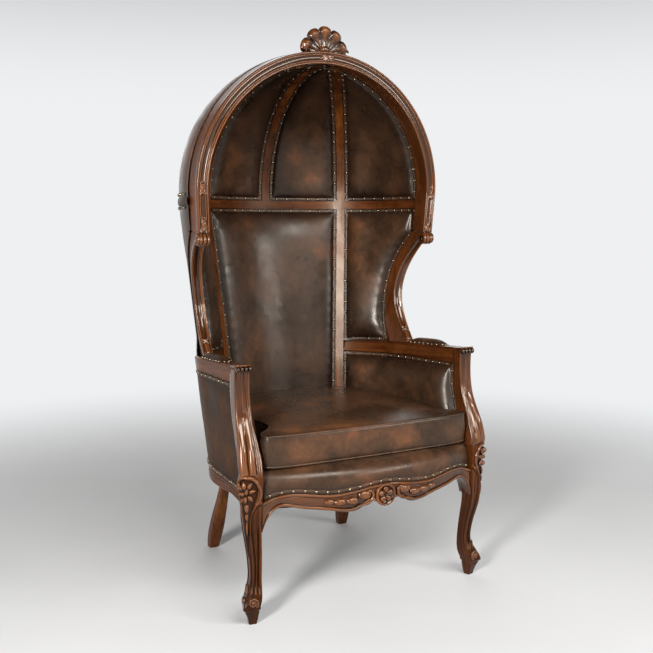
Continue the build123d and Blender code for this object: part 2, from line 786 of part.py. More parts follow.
# Loose cushion: crowned, with drawn-in sides and notches for the arm posts
cushion_bottom_z = deck_top_z
well_radius, cushion_center_y, well_half_width = level(cushion_bottom_z, 0)
cushion_radius = well_radius - seat_clearance
cushion_half_width = well_half_width - cushion_side_clearance
cushion_corner_y = cushion_front_y + cushion_bow
ear_back_y = cushion_corner_y + cushion_ear_depth
waist_x = cushion_half_width - cushion_notch
cushion_middle_z = cushion_bottom_z + cushion_height / 2
crown_radius = (cushion_radius ** 2 + cushion_crown ** 2) / (2 * cushion_crown)
with BuildPart() as seat_cushion:
    with BuildSketch(Plane.XY.offset(cushion_middle_z)):
        with BuildLine():
            ThreePointArc(
                (-cushion_half_width, cushion_corner_y),
                (0, cushion_front_y),
                (cushion_half_width, cushion_corner_y),
            )
            Line((cushion_half_width, cushion_corner_y), (cushion_half_width, ear_back_y))
            Line((cushion_half_width, ear_back_y), (waist_x, ear_back_y + cushion_notch))
            Line((waist_x, ear_back_y + cushion_notch), (cushion_radius, cushion_center_y))
            ThreePointArc(
                (cushion_radius, cushion_center_y),
                (0, cushion_center_y + cushion_radius),
                (-cushion_radius, cushion_center_y),
            )
            Line((-cushion_radius, cushion_center_y), (-waist_x, ear_back_y + cushion_notch))
            Line((-waist_x, ear_back_y + cushion_notch), (-cushion_half_width, ear_back_y))
            Line((-cushion_half_width, ear_back_y), (-cushion_half_width, cushion_corner_y))
        make_face()
    middle = seat_cushion.pending_faces[0]
    extrude(amount=cushion_height / 2 + cushion_crown, taper=cushion_taper)
    extrude(middle, amount=-cushion_height / 2, taper=cushion_taper)
    crown_y = (cushion_front_y + cushion_center_y + cushion_radius) / 2
    crown_z = cushion_bottom_z + cushion_height + cushion_crown - crown_radius
    with Locations((0, crown_y, crown_z)):
        Sphere(crown_radius, mode=Mode.INTERSECT)
write(seat_cushion.part, "seat_cushion")

# Dust cover under the frame
dust_face = seat_outline(rail_bottom_z, side_rail_inner_share, rail_inner_radius, fit_gap)
with BuildPart() as dust_cover:
    extrude(dust_face, amount=dust_cover_thickness)
write(dust_cover.part, "dust_cover")

# Blocks glued into the four corners of the seat frame, and the screws that hold them
block_low_z = rail_top_z - block_height - dust_cover_thickness
back_ring_radius, back_ring_y, _ = level(rail_bottom_z, side_rail_inner_share)
leg_turn = degrees(atan2(back_leg_top_y - back_ring_y, back_leg_top_x))
back_block_face = Location((0, back_ring_y, 0), (0, 0, leg_turn))
with BuildPart() as corner_block:
    with BuildSketch(Plane.XY.offset(block_low_z)):
        with BuildLine():
            Polyline(
                (front_rail_half_width, knee_center_y),
                (front_rail_half_width - block_reach, knee_center_y),
                (front_rail_half_width, side_front_y + block_reach),
                close=True,
            )
        make_face()
    extrude(amount=block_height)
    with BuildSketch(Plane.XY.offset(block_low_z)):
        with Locations(back_block_face * Location((back_ring_radius - block_depth, 0, 0))):
            Rectangle(2 * block_depth, block_reach, align=(Align.MIN, Align.CENTER))
    extrude(amount=block_height)
    add(front_seat_rail.part, mode=Mode.SUBTRACT)
    add(front_border.part, mode=Mode.SUBTRACT)
    add(side_rail.part, mode=Mode.SUBTRACT)
    add(back_seat_rail.part, mode=Mode.SUBTRACT)
with BuildPart() as corner_blocks:
    add(corner_block.part)
    mirror(corner_block.part, about=Plane.YZ)
write(corner_blocks.part, "corner_blocks")

screw_z = block_low_z + block_height / 2
screw_offset = block_reach / 2
back_screw_x = back_ring_radius - block_depth
screw_places = [
    Plane((front_rail_half_width - block_depth, side_front_y + screw_offset / 2, screw_z), z_dir=(1, 0, 0)),
    Plane((front_rail_half_width - screw_offset, side_front_y + fit_gap, screw_z), z_dir=(0, -1, 0)),
]
for slide in (-screw_offset / 2, screw_offset / 2):
    start = back_block_face * Location((back_screw_x, slide, screw_z), (0, 90, 0))
    screw_places.append(Plane(start))
with BuildPart() as side_screws:
    for place in screw_places:
        with BuildSketch(place):
            Circle(screw_radius)
        extrude(amount=screw_length)
        with BuildSketch(place):
            Circle(screw_head_radius)
        extrude(amount=-screw_head_height)
with BuildPart() as corner_block_screws:
    add(side_screws.part)
    mirror(side_screws.part, about=Plane.YZ)
write(corner_block_screws.part, "corner_block_screws")
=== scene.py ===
import bmesh
import bpy
import numpy as np
from math import cos, pi, radians, sin
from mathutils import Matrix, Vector, noise


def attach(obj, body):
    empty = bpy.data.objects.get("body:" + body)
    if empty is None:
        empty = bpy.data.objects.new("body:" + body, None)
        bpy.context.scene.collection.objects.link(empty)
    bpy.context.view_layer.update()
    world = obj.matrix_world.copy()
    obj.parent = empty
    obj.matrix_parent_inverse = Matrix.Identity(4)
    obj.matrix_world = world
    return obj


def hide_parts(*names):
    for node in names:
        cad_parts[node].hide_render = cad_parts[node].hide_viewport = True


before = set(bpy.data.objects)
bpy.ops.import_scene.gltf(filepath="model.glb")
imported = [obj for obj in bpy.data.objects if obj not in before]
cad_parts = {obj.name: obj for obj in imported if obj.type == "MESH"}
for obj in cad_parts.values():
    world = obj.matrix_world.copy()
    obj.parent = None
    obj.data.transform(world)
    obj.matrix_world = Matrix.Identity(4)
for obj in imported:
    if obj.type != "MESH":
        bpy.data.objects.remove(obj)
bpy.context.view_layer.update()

# Sizes of the frame in metres, as in the part's source
RAIL_BOTTOM, RAIL_TOP = 0.314, 0.356
BAND_BOTTOM, BAND_TOP, SPRING = 1.158, 1.185, 1.204
HOOD_RADIUS, HOOD_BUILD, HOOD_Y = 0.380, 0.058, -0.004
SIDE_FRONT = -0.318
ARCH_FRONT, ARCH_LEAN, ARCH_DEPTH, ARCH_FACE = -0.064, radians(3.6), 0.065, 0.038
ARCH_LEG_BOTTOM = 1.080
ARCH_SHARE = ARCH_FACE / HOOD_BUILD
ARCH_BACK = ARCH_DEPTH / cos(ARCH_LEAN)
RIB_ANGLE, RIB_FOCUS, RIB_WIDTH = radians(32), -0.120, 0.027
ARM_TOP, ARM_FALL, ARM_BACK = 0.720, 0.030, 0.260
STILE_SWING, POST_RAKE, POST_BOTTOM = 0.131, 0.068, 0.425
DECK_TOP = 0.437

# The body's layers run from 0 inside to 1 outside. Inside panels lie on one, outer leather under another
PANEL, OUTER_SINK = 0.05, 0.05
# How far a nail row lies from a panel's edge, and its nails from each other
ROW, NAIL_PITCH = 0.0075, 0.037
PANEL_MARGIN = 0.012


def mix(low, high, share):
    return low + (high - low) * share


def climb(x, start, length):
    """Rises from 0 at a place to 1 over a length."""
    return np.clip((x - start) / length, 0, 1)


def fall(x, end, length):
    """Falls from 1 over a length to 0 at a place."""
    return np.clip((end - x) / length, 0, 1)


def hill(x, at, wide):
    return np.exp(-((x - at) / wide) ** 2)


def arc(x, at=0, half=1):
    """Height of a half circle, as a share of its radius."""
    return np.sqrt(np.clip(1 - ((x - at) / half) ** 2, 0, 1))


def level(z, share):
    """Radius, centre and front half width of the body's plan at a height and layer."""
    rise = (z - RAIL_BOTTOM) / (BAND_BOTTOM - RAIL_BOTTOM)
    hood = HOOD_RADIUS + share * HOOD_BUILD
    radius = mix(mix(0.323, 0.362, share), hood, rise)
    center = mix(mix(-0.077, -0.057, share), HOOD_Y, rise)
    front = mix(mix(0.346, 0.372, share), hood, rise)
    return radius, center, front


def plan(y, z, share):
    """Radius, centre and straight side of the body's plan at depths and heights."""
    radius, center, front = level(np.minimum(z, BAND_BOTTOM), share)
    return radius, center, mix(radius, front, (center - y) / (center - SIDE_FRONT))


def hood_reach(y, z):
    """Distances behind and above the centre of the hood."""
    return np.maximum(0, y - HOOD_Y), np.maximum(0, z - SPRING)


def depth(p, share):
    """How far points lie outside a layer of the body or the hood."""
    x, y, z = abs(p[..., 0]), p[..., 1], p[..., 2]
    radius, center, flat = plan(y, z, share)
    tub = np.where(y < center, x - flat, np.hypot(x, y - center) - radius)
    back, rise = hood_reach(y, z)
    hood = np.sqrt(x ** 2 + back ** 2 + rise ** 2) - HOOD_RADIUS - share * HOOD_BUILD
    return np.where(z > BAND_BOTTOM, hood, tub)


def normal(p, share):
    """Outward directions of a layer at points."""
    step = 0.002
    here = depth(p, share)
    n = np.stack([depth(p + step * np.eye(3)[k], share) - here for k in range(3)], -1)
    n[..., 0] = np.where(p[..., 0] < 0, -abs(n[..., 0]), n[..., 0])
    return n / np.linalg.norm(n, axis=-1, keepdims=True)


def settle(p, share):
    """Points moved onto a layer, along its normal."""
    for _ in range(4):
        p = p - normal(p, share) * depth(p, share)[..., None]
    return p


def body_x(y, z, share):
    """Distance of a layer from the middle plane at a depth and height."""
    radius, center, flat = plan(y, z, share)
    tub = np.where(y < center, flat, np.sqrt(np.maximum(0, radius ** 2 - (y - center) ** 2)))
    back, rise = hood_reach(y, z)
    hood_radius = HOOD_RADIUS + share * HOOD_BUILD
    hood = np.sqrt(np.maximum(0, hood_radius ** 2 - back ** 2 - rise ** 2))
    return np.where(z > BAND_BOTTOM, hood, tub)


def on_body(y, z, share):
    """Points of a layer at depths and heights, on the right-hand side."""
    y, z = np.broadcast_arrays(np.asarray(y, float), z)
    return np.stack([body_x(y, z, share), y, z], -1)


def arch_back(z):
    return ARCH_FRONT + ARCH_BACK - (z - SPRING) * np.tan(ARCH_LEAN)


def arm_top(y):
    return ARM_TOP - ARM_FALL * (y - SIDE_FRONT) / (ARM_BACK - SIDE_FRONT)


def arm_under(y):
    return arm_top(y) - mix(0.050, 0.037, (y - SIDE_FRONT) / (ARM_BACK - SIDE_FRONT))


def spline(points, count):
    """A smooth curve through points, evenly divided."""
    pts = np.array(points, float)
    t = run_length(pts)
    h = np.diff(t)
    size = len(t)
    m = np.zeros((size, size))
    r = np.zeros((size, pts.shape[1]))
    m[0, 0] = m[-1, -1] = 1
    for i in range(1, size - 1):
        m[i, i - 1], m[i, i], m[i, i + 1] = h[i - 1], 2 * (h[i - 1] + h[i]), h[i]
        r[i] = 6 * ((pts[i + 1] - pts[i]) / h[i] - (pts[i] - pts[i - 1]) / h[i - 1])
    k = np.linalg.solve(m, r)
    fine = np.linspace(0, t[-1], count * 8)
    i = np.clip(np.searchsorted(t, fine) - 1, 0, size - 2)
    a, b = (fine - t[i])[:, None], (t[i + 1] - fine)[:, None]
    hh = h[i][:, None]
    curve = (k[i] * b ** 3 + k[i + 1] * a ** 3) / (6 * hh)
    curve += (pts[i] / hh - k[i] * hh / 6) * b + (pts[i + 1] / hh - k[i + 1] * hh / 6) * a
    return even(curve, count)


def run_length(path):
    return np.r_[0, np.cumsum(np.linalg.norm(np.diff(path, axis=0), axis=1))]


def sample(at, s, path):
    """Points of a path at distances along it."""
    return np.stack([np.interp(at, s, path[:, k]) for k in range(path.shape[1])], -1)


def even(path, count, soft=False):
    """A path divided evenly, or more finely towards its ends."""
    path = np.asarray(path, float)
    s = run_length(path)
    share = np.linspace(0, 1, count)
    if soft:
        share = mix(share, 0.5 - 0.5 * np.cos(share * pi), 0.75)
    return sample(share * s[-1], s, path)


def unit(v):
    return v / np.maximum(np.linalg.norm(v, axis=-1, keepdims=True), 1e-9)


# Curved edges of the wing stile and the arm post in side view, as depth and height
STILE_FRONT_TOP = arch_back(ARCH_LEG_BOTTOM) - ARCH_BACK


def stile_edge(shares, top=None):
    zs = [mix(arm_top(0.080), ARCH_LEG_BOTTOM, k) for k in (0, 0.22, 0.48, 0.74, 1)]
    pts = [[STILE_FRONT_TOP + k * STILE_SWING, z] for k, z in zip(shares, zs)]
    pts[0][1] = arm_top(pts[0][0])
    if top is not None:
        pts[-1][0] = top
    return pts


def post_edge(shares, first):
    zs = [mix(POST_BOTTOM, ARM_TOP, k) for k in (0, 0.25, 0.5, 0.75, 1)]
    pts = [[first + k * POST_RAKE, z] for k, z in zip(shares, zs)]
    pts[-1][1] = arm_top(pts[-1][0])
    return pts


STILE_F = stile_edge((0.39, 0.8, 1, 0.76, 0))
STILE_B = stile_edge((1.04, 1.21, 1.23, 1.06, 0.5), arch_back(ARCH_LEG_BOTTOM))
POST_F = post_edge((0, 0.38, 0.85, 1.04, 1), -0.366)
POST_B = post_edge((0, 0.32, 0.71, 0.875, 0.85), SIDE_FRONT)
POST_BACK_TOP = POST_B[-1][0]
# Where the leather of the arm and the back meet under the stile, and the height below the arm rail's front
SEAM = STILE_B[0][0]
ARM_LEATHER_FRONT = -0.262
ARM_LEATHER_TOP = arm_under(-0.26)


# Mesh helpers
def new_mesh(name, verts, faces, uvs=None, attrs=None, smooth=True, material=None):
    mesh = bpy.data.meshes.new(name)
    mesh.from_pydata([tuple(v) for v in verts], [], faces)
    if uvs is not None:
        layer = mesh.uv_layers.new(name="UVMap")
        loops = np.zeros(len(mesh.loops), np.int32)
        mesh.loops.foreach_get("vertex_index", loops)
        layer.data.foreach_set("uv", np.asarray(uvs, np.float32)[loops].ravel())
    for key, values in (attrs or {}).items():
        a = mesh.attributes.new(key, "FLOAT", "POINT")
        a.data.foreach_set("value", np.asarray(values, np.float32))
    mesh.polygons.foreach_set("use_smooth", [smooth] * len(mesh.polygons))
    mesh.validate()
    ob = bpy.data.objects.new(name, mesh)
    bpy.context.scene.collection.objects.link(ob)
    if material:
        mesh.materials.append(material)
    return ob


def grid_faces(rows, cols, wrap_cols=False, flip=False, start=0):
    faces = []
    for i in range(rows - 1):
        a, b = start + i * cols, start + (i + 1) * cols
        for j in range(cols if wrap_cols else cols - 1):
            k = (j + 1) % cols
            f = (a + j, a + k, b + k, b + j)
            faces.append(f[::-1] if flip else f)
    return faces


def rim_index(nu, nv):
    """Vertex numbers round the edge of a patch."""
    ring = [(i, 0) for i in range(nu)] + [(nu - 1, j) for j in range(1, nv)]
    ring += [(i, nv - 1) for i in range(nu - 2, -1, -1)] + [(0, j) for j in range(nv - 2, 0, -1)]
    return np.array([i * nv + j for i, j in ring])


def skirt(verts, faces, index, drop):
    """Turns the rim of a patch under, by a drop."""
    base = len(verts)
    for k in range(len(index)):
        m = (k + 1) % len(index)
        faces.append((index[m], base + m, base + k, index[k]))
    return np.vstack([verts, verts[index] - drop])


def face_out(ob):
    """Makes the faces of a closed mesh face outwards."""
    bm = bmesh.new()
    bm.from_mesh(ob.data)
    bmesh.ops.recalc_face_normals(bm, faces=bm.faces)
    bm.to_mesh(ob.data)
    bm.free()
    return ob


def flipped(points):
    """Mirror image of points about the middle plane."""
    q = np.array(points, float)
    q[..., 0] *= -1
    return q


def across_middle(path):
    """A path from the middle, with its mirror image before it."""
    return np.vstack([flipped(path)[::-1][:-1], path])


def two(make):
    """Makes the right-hand piece and its mirror image."""
    make("right", lambda p: p)
    make("left", flipped)


def place(ob, body="frame", nodes=()):
    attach(ob, body)
    if nodes:
        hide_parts(*nodes)
    return ob


# Materials
def tree(name):
    m = bpy.data.materials.new(name)
    m.use_nodes = True
    nt = m.node_tree
    return m, nt, nt.nodes["Principled BSDF"]


def is_socket(v):
    return hasattr(v, "is_output")


def feed(nt, n, inputs):
    """Sets the sockets of a node, or links them."""
    for k, v in inputs.items():
        if is_socket(v):
            nt.links.new(v, n.inputs[k])
        else:
            n.inputs[k].default_value = v


def node(nt, kind, inputs=None, **props):
    n = nt.nodes.new(kind)
    for k, v in props.items():
        setattr(n, k, v)
    feed(nt, n, inputs or {})
    return n


def ramp(nt, fac, stops, tone=1.0):
    """Colours along a scale, all multiplied by a tone."""
    n = node(nt, "ShaderNodeValToRGB", {0: fac})
    el = n.color_ramp.elements
    while len(el) < len(stops):
        el.new(0.5)
    for e, (at, color) in zip(el, stops):
        e.position = at
        e.color = (*[c * tone for c in color], 1)
    return n.outputs[0]


def grey(nt, fac, low, high, from_low=0.0, from_high=1.0):
    inputs = {0: fac, 1: from_low, 2: from_high, 3: low, 4: high}
    return node(nt, "ShaderNodeMapRange", inputs).outputs[0]


def blend_color(nt, fac, a, b, mode="MIX"):
    a, b = [v if is_socket(v) else (*v, 1) for v in (a, b)]
    return node(nt, "ShaderNodeMix", {0: fac, 6: a, 7: b}, data_type="RGBA", blend_type=mode).outputs[2]


def shaded(nt, color, fac, low, high, from_low, from_high):
    """A colour made darker and lighter along a scale."""
    return blend_color(nt, 1.0, color, grey(nt, fac, low, high, from_low, from_high), "MULTIPLY")


def clouds(nt, at, scale, detail, rough=0.5, twist=0.0):
    inputs = {"Vector": at, "Scale": scale, "Detail": detail, "Roughness": rough, "Distortion": twist}
    return node(nt, "ShaderNodeTexNoise", inputs).outputs[0]


def bumped(nt, height, strength, distance, under=None):
    inputs = {"Height": height, "Strength": strength, "Distance": distance}
    if under is not None:
        inputs["Normal"] = under
    return node(nt, "ShaderNodeBump", inputs).outputs[0]


def combine(nt, a, b, how):
    return node(nt, "ShaderNodeMath", {0: a, 1: b}, operation=how).outputs[0]


def object_at(nt):
    return node(nt, "ShaderNodeTexCoord").outputs["Object"]


def attribute(nt, name):
    return node(nt, "ShaderNodeAttribute", attribute_name=name).outputs["Fac"]


WOOD_FIGURE = ((0.25, (0.024, 0.0062, 0.0022)), (0.46, (0.070, 0.0180, 0.0040)),
               (0.60, (0.125, 0.0360, 0.0075)), (0.80, (0.215, 0.0740, 0.0150)))
# Carve colours: a dark glaze with painted shade for hollows, and rubbed wear with a painted highlight for
# ridges
WOOD_GLAZE_AND_SHADE, WOOD_WEAR_AND_HIGHLIGHT = (0.0080, 0.0024, 0.0010), (0.290, 0.098, 0.024)
LEATHER_PATCHES = ((0.30, (0.0110, 0.0056, 0.0030)), (0.45, (0.0200, 0.0098, 0.0050)),
                   (0.57, (0.0390, 0.0170, 0.0078)), (0.70, (0.0950, 0.0320, 0.0110)))
# Painted shade laid on leather near its nailed edges and seams
LEATHER_EDGE_SHADE = (0.0055, 0.0028, 0.002)


def wood(name, grain, on_uv=False, tone=1.0, gloss=0.14, spec=0.36, coat=0.12):
    """Polished mahogany. Grain gives how fast the figure changes along each axis."""
    m, nt, bsdf = tree(name)
    at = node(nt, "ShaderNodeUVMap", uv_map="UVMap").outputs[0] if on_uv else object_at(nt)
    warp = node(nt, "ShaderNodeMapping", {"Vector": at, "Scale": grain}).outputs[0]
    fine = clouds(nt, warp, 2.6, 6.0, 0.7, 0.3)
    cloud = clouds(nt, object_at(nt), 9.0, 3.0, 0.6)
    figure = ramp(nt, clouds(nt, warp, 0.28, 5.0, 0.6, 0.8), WOOD_FIGURE, tone)
    figure = shaded(nt, figure, fine, 0.55, 1.15, 0.30, 0.62)
    figure = shaded(nt, figure, cloud, 0.72, 1.25, 0.35, 0.65)
    # Painted light: the carve attribute darkens hollows as painted shade, partly glaze, and lightens raised
    # parts as painted highlight, partly rubbed wear
    carve = attribute(nt, "carve")
    figure = blend_color(nt, grey(nt, carve, 0.0, 0.88, 0.0, -1.0), figure, WOOD_GLAZE_AND_SHADE)
    figure = blend_color(nt, grey(nt, carve, 0.0, 0.42), figure, WOOD_WEAR_AND_HIGHLIGHT)
    feed(nt, bsdf, {
        "Base Color": figure,
        "Roughness": grey(nt, cloud, gloss - 0.05, gloss + 0.12, 0.3, 0.7),
        "Specular IOR Level": spec,
        "Specular Tint": (1.0, 0.80, 0.60, 1),
        "Coat Weight": coat,
        "Coat Roughness": 0.07,
        "Normal": bumped(nt, fine, 0.16, 0.0006)})
    return m


def leather(name, tone=1.0, rough=0.27, spec=0.50, tint=(1.0, 0.91, 0.80), edge_shade=0.82):
    """Aged brown leather with burnished patches, and painted shade at its nailed edges and seams."""
    m, nt, bsdf = tree(name)
    at = object_at(nt)
    spot = clouds(nt, at, 9.5, 3.0, 0.52, 0.25)
    both = combine(nt, clouds(nt, at, 3.2, 3.0, 0.50, 0.5), spot, "ADD")
    color = ramp(nt, combine(nt, both, 0.5, "MULTIPLY"), LEATHER_PATCHES, tone)
    color = shaded(nt, color, clouds(nt, at, 55.0, 4.0, 0.7), 0.78, 1.22, 0.35, 0.65)
    # Painted shade: darker where the edge attribute is low, at nailed edges and seams
    color = blend_color(nt, grey(nt, attribute(nt, "edge"), edge_shade, 0.0), color, LEATHER_EDGE_SHADE)
    grain = node(nt, "ShaderNodeTexVoronoi", {"Vector": at, "Scale": 620.0}, feature="F1").outputs[0]
    bumps = bumped(nt, grain, 0.14, 0.0005)
    bumps = bumped(nt, clouds(nt, at, 85.0, 4.0, 0.6, 0.3), 0.20, 0.0012, bumps)
    feed(nt, bsdf, {
        "Base Color": color,
        "Roughness": grey(nt, spot, rough - 0.07, rough + 0.10, 0.32, 0.68),
        "Specular IOR Level": spec,
        "Specular Tint": (*tint, 1),
        "Normal": bumped(nt, spot, 0.14, 0.004, bumps)})
    return m


def plain(name, dark, light, scale, rough, metal=0.0, bump=0.2, stretch=(1, 1, 1)):
    """One material with a soft change of tone."""
    m, nt, bsdf = tree(name)
    at = node(nt, "ShaderNodeMapping", {"Vector": object_at(nt), "Scale": stretch}).outputs[0]
    spot = clouds(nt, at, scale, 5.0, 0.65)
    feed(nt, bsdf, {
        "Base Color": ramp(nt, spot, [(0.32, dark), (0.68, light)]),
        "Roughness": grey(nt, spot, rough + 0.1, rough - 0.06, 0.3, 0.7),
        "Metallic": metal,
        "Normal": bumped(nt, spot, bump, 0.001)})
    return m


def woven(name, dark, light, pitch):
    """A plain weave of threads."""
    m, nt, bsdf = tree(name)
    waves = {"Vector": object_at(nt), "Scale": 1 / pitch / 6.28, "Distortion": 1.0, "Detail": 2.0}
    threads = [node(nt, "ShaderNodeTexWave", waves, bands_direction=k).outputs[1] for k in "XY"]
    both = combine(nt, *threads, "MULTIPLY")
    feed(nt, bsdf, {
        "Base Color": ramp(nt, both, [(0.0, dark), (0.6, light)]),
        "Roughness": 0.85,
        "Normal": bumped(nt, both, 0.5, 0.001)})
    return m


ALONG = (3.0, 60.0, 1.0)
WOOD_UV = wood("mahogany_along", ALONG, on_uv=True, tone=0.86, gloss=0.12, spec=0.42, coat=0.45)
# A darker copy of the mahogany for the front legs: painted shade against the light the pale floor throws up
WOOD_LEG_SHADED = wood("mahogany_legs_shaded", ALONG, on_uv=True, tone=0.64, spec=0.16, coat=0.08)
# A lighter copy with little reflection, for side faces and side-facing rails: painted light set for how the
# sides are lit
WOOD_SIDE_LIT = wood("mahogany_sides_lit", ALONG, on_uv=True, tone=0.95, gloss=0.24, spec=0.10, coat=0.0)
WOOD_UP = wood("mahogany_upright", (60.0, 60.0, 3.0), gloss=0.26, spec=0.26, coat=0.04)
WOOD_LEVEL = wood("mahogany_level", (5.0, 5.0, 70.0), gloss=0.25, spec=0.26, coat=0.04)
# Copies of the one leather, toned for how their surfaces are lit: painted light and shade. The arm, outside,
# back and seat copies are lighter, the back panel's darker
LEATHER = leather("leather_panel", tone=1.5, rough=0.30, spec=0.36)
LEATHER_BACK_PANEL_SHADED = leather("leather_back_panel_shaded", tone=1.25, rough=0.31, spec=0.31)
LEATHER_ARM_LIT = leather("leather_arm_panel_lit", tone=1.8, rough=0.29, spec=0.42)
LEATHER_OUT = leather("leather_outside", tone=1.85, rough=0.42, spec=0.06, tint=(0.42, 0.28, 0.18),
                      edge_shade=0.55)
LEATHER_BACK = leather("leather_back", tone=1.9, rough=0.36, spec=0.26, edge_shade=0.5)
LEATHER_SEAT = leather("leather_seat", tone=2.0, rough=0.28, spec=0.36)
GIMP = leather("leather_gimp", tone=1.6, rough=0.45)
PIPING = leather("leather_piping", tone=1.9, rough=0.38)
NAIL = plain("bronze_nail", (0.07, 0.052, 0.034), (0.34, 0.265, 0.18), 140.0, 0.24, metal=1.0)
SHELL = plain("bare_beech", (0.36, 0.24, 0.13), (0.52, 0.37, 0.21), 18.0, 0.62, stretch=(1, 1, 0.2))
WEB = woven("jute_web", (0.16, 0.11, 0.06), (0.48, 0.37, 0.24), 0.004)
LINING = woven("black_lining", (0.008, 0.008, 0.008), (0.035, 0.034, 0.034), 0.0016)
STUFFING = plain("stuffing", (0.30, 0.25, 0.18), (0.62, 0.56, 0.46), 90.0, 0.9, bump=0.6)
STEEL = plain("screw_steel", (0.30, 0.29, 0.28), (0.55, 0.54, 0.52), 300.0, 0.34, metal=1.0)


# Leather panels: a patch between four edges, puffed between its nails
def coons(low, high, left, right):
    u = np.linspace(0, 1, len(low))[:, None, None]
    v = np.linspace(0, 1, len(left))[None, :, None]
    edges = (1 - v) * low[:, None] + v * high[:, None] + (1 - u) * left[None] + u * right[None]
    corners = (1 - u) * (1 - v) * low[0] + u * (1 - v) * low[-1]
    corners = corners + (1 - u) * v * high[0] + u * v * high[-1]
    return edges - corners


def patch(edges, nu, nv):
    """A patch between low, high, left and right paths, finer towards its edges."""
    return coons(*[even(e, count, True) for e, count in zip(edges, (nu, nu, nv, nv))])


def girths(p):
    """Distances from the first row and from the first column of a patch, along its surface."""
    rows = np.cumsum(np.linalg.norm(np.diff(p, axis=0), axis=2), 0)
    cols = np.cumsum(np.linalg.norm(np.diff(p, axis=1), axis=2), 1)
    return np.pad(rows, ((1, 0), (0, 0))), np.pad(cols, ((0, 0), (1, 0)))


def roll(d, width):
    """Height share of stuffed leather at a distance from its nailed edge."""
    k = np.clip(1 - d / width, 0, 1)
    return np.sqrt(1 - k ** 2.4)


def ripple(p, scale, seed):
    shift = Vector((seed, seed * 2.3, 1))
    return np.array([noise.noise(Vector(q) * scale + shift) for q in p.reshape(-1, 3)]).reshape(p.shape[:-1])


def panel(name, edges, puff, width, nu, nv, nodes, material, seed=1.0, closed=(1, 1, 1, 1)):
    """Stuffed leather over a patch of the inside. Edges are low, high, left and right paths."""
    p = settle(patch(edges, nu, nv), PANEL)
    su, sv = girths(p)
    height = np.full(su.shape, puff)
    near = np.full(su.shape, 1e3)
    for d, s, on in zip((sv, sv[:, -1:] - sv, su, su[-1:] - su), (su, su, sv, sv), closed):
        if not on:
            continue
        inside = d - PANEL_MARGIN
        height = height * roll(np.maximum(0, inside), width)
        near = np.minimum(near, d)
        pull = np.exp(-np.maximum(0, inside) / 0.013) * np.clip(inside / 0.006, 0, 1)
        height = height - 0.0011 * pull * np.cos(2 * pi * s / NAIL_PITCH)
    inner = climb(near, PANEL_MARGIN, 0.05)
    height = height + inner * (0.0009 * ripple(p, 9.0, seed) + 0.0004 * ripple(p, 38.0, seed + 3))
    n = -normal(p, PANEL)
    # Mask for painted shade, low near the nailed edges
    edge = climb(near, PANEL_MARGIN * 0.6, 0.055)
    uv = np.stack([su, sv], -1).reshape(-1, 2)
    faces = grid_faces(nu, nv, flip=True)
    index = rim_index(nu, nv)
    verts = skirt((p + n * height[..., None]).reshape(-1, 3), faces, index, n.reshape(-1, 3)[index] * 0.005)
    edge = np.r_[edge.ravel(), np.zeros(len(index))]
    ob = new_mesh(name, verts, faces, np.vstack([uv, uv[index]]), {"edge": edge}, material=material)
    place(ob, nodes=nodes)
    return ob


# Nails, and the leather gimp under them
NAILS, GIMPS = [], []


def dome():
    """Head of one nail, with its point downwards."""
    radius, height, around, up = 0.0047, 0.0033, 12, 4
    turns = [2 * pi * k / around for k in range(around)]
    verts, faces = [(0, 0, height)], []
    for i in range(1, up + 1):
        a = pi / 2 * i / up
        verts += [(radius * sin(a) * cos(t), radius * sin(a) * sin(t), height * cos(a)) for t in turns]
    verts += [(radius * cos(t), radius * sin(t), -0.001) for t in turns]
    for k in range(around):
        faces.append((0, 1 + k, 1 + (k + 1) % around))
    for i in range(up):
        a, b = 1 + i * around, 1 + (i + 1) * around
        for k in range(around):
            faces.append((a + k, b + k, b + (k + 1) % around, a + (k + 1) % around))
    return np.array(verts), faces


def stud(path, normals, lift=0.0022, pitch=NAIL_PITCH):
    """Nails along a path, and their mirror images."""
    s = run_length(path)
    count = max(1, round(s[-1] / pitch))
    at = (np.arange(count) + 0.5) * s[-1] / count
    pts, nrm = sample(at, s, path), unit(sample(at, s, normals))
    for sign in (1, -1):
        for p, n in zip(pts, nrm):
            NAILS.append(((p[0] * sign, p[1], p[2]), (n[0] * sign, n[1], n[2]), lift))


GIMP_SECTION = ((-1, -0.3), (-1, 0.5), (-0.6, 1), (0.6, 1), (1, 0.5), (1, -0.3))


def strip(path, normals, width=0.0105, thick=0.0022):
    """A narrow strip of leather along a path, and its mirror image."""
    path = even(np.hstack([path, normals]), max(8, int(run_length(path)[-1] / 0.006)))
    path, nrm = path[:, :3], unit(path[:, 3:])
    across = unit(np.cross(nrm, unit(np.gradient(path, axis=0))))
    wave = 1 + 0.10 * np.cos(2 * pi * run_length(path) / NAIL_PITCH)
    rows = [path + across * (o * width / 2 * wave)[:, None] + nrm * (h * thick) for o, h in GIMP_SECTION]
    q = np.stack(rows, 1)
    for side in (q, flipped(q)):
        GIMPS.append((side.reshape(-1, 3), len(path), len(GIMP_SECTION)))


def nailed(path):
    """A row of nails on gimp along a path on the layer of the inside panels."""
    path = settle(even(path, max(12, int(run_length(np.asarray(path))[-1] / 0.008))), PANEL)
    n = -normal(path, PANEL)
    stud(path, n)
    strip(path, n)


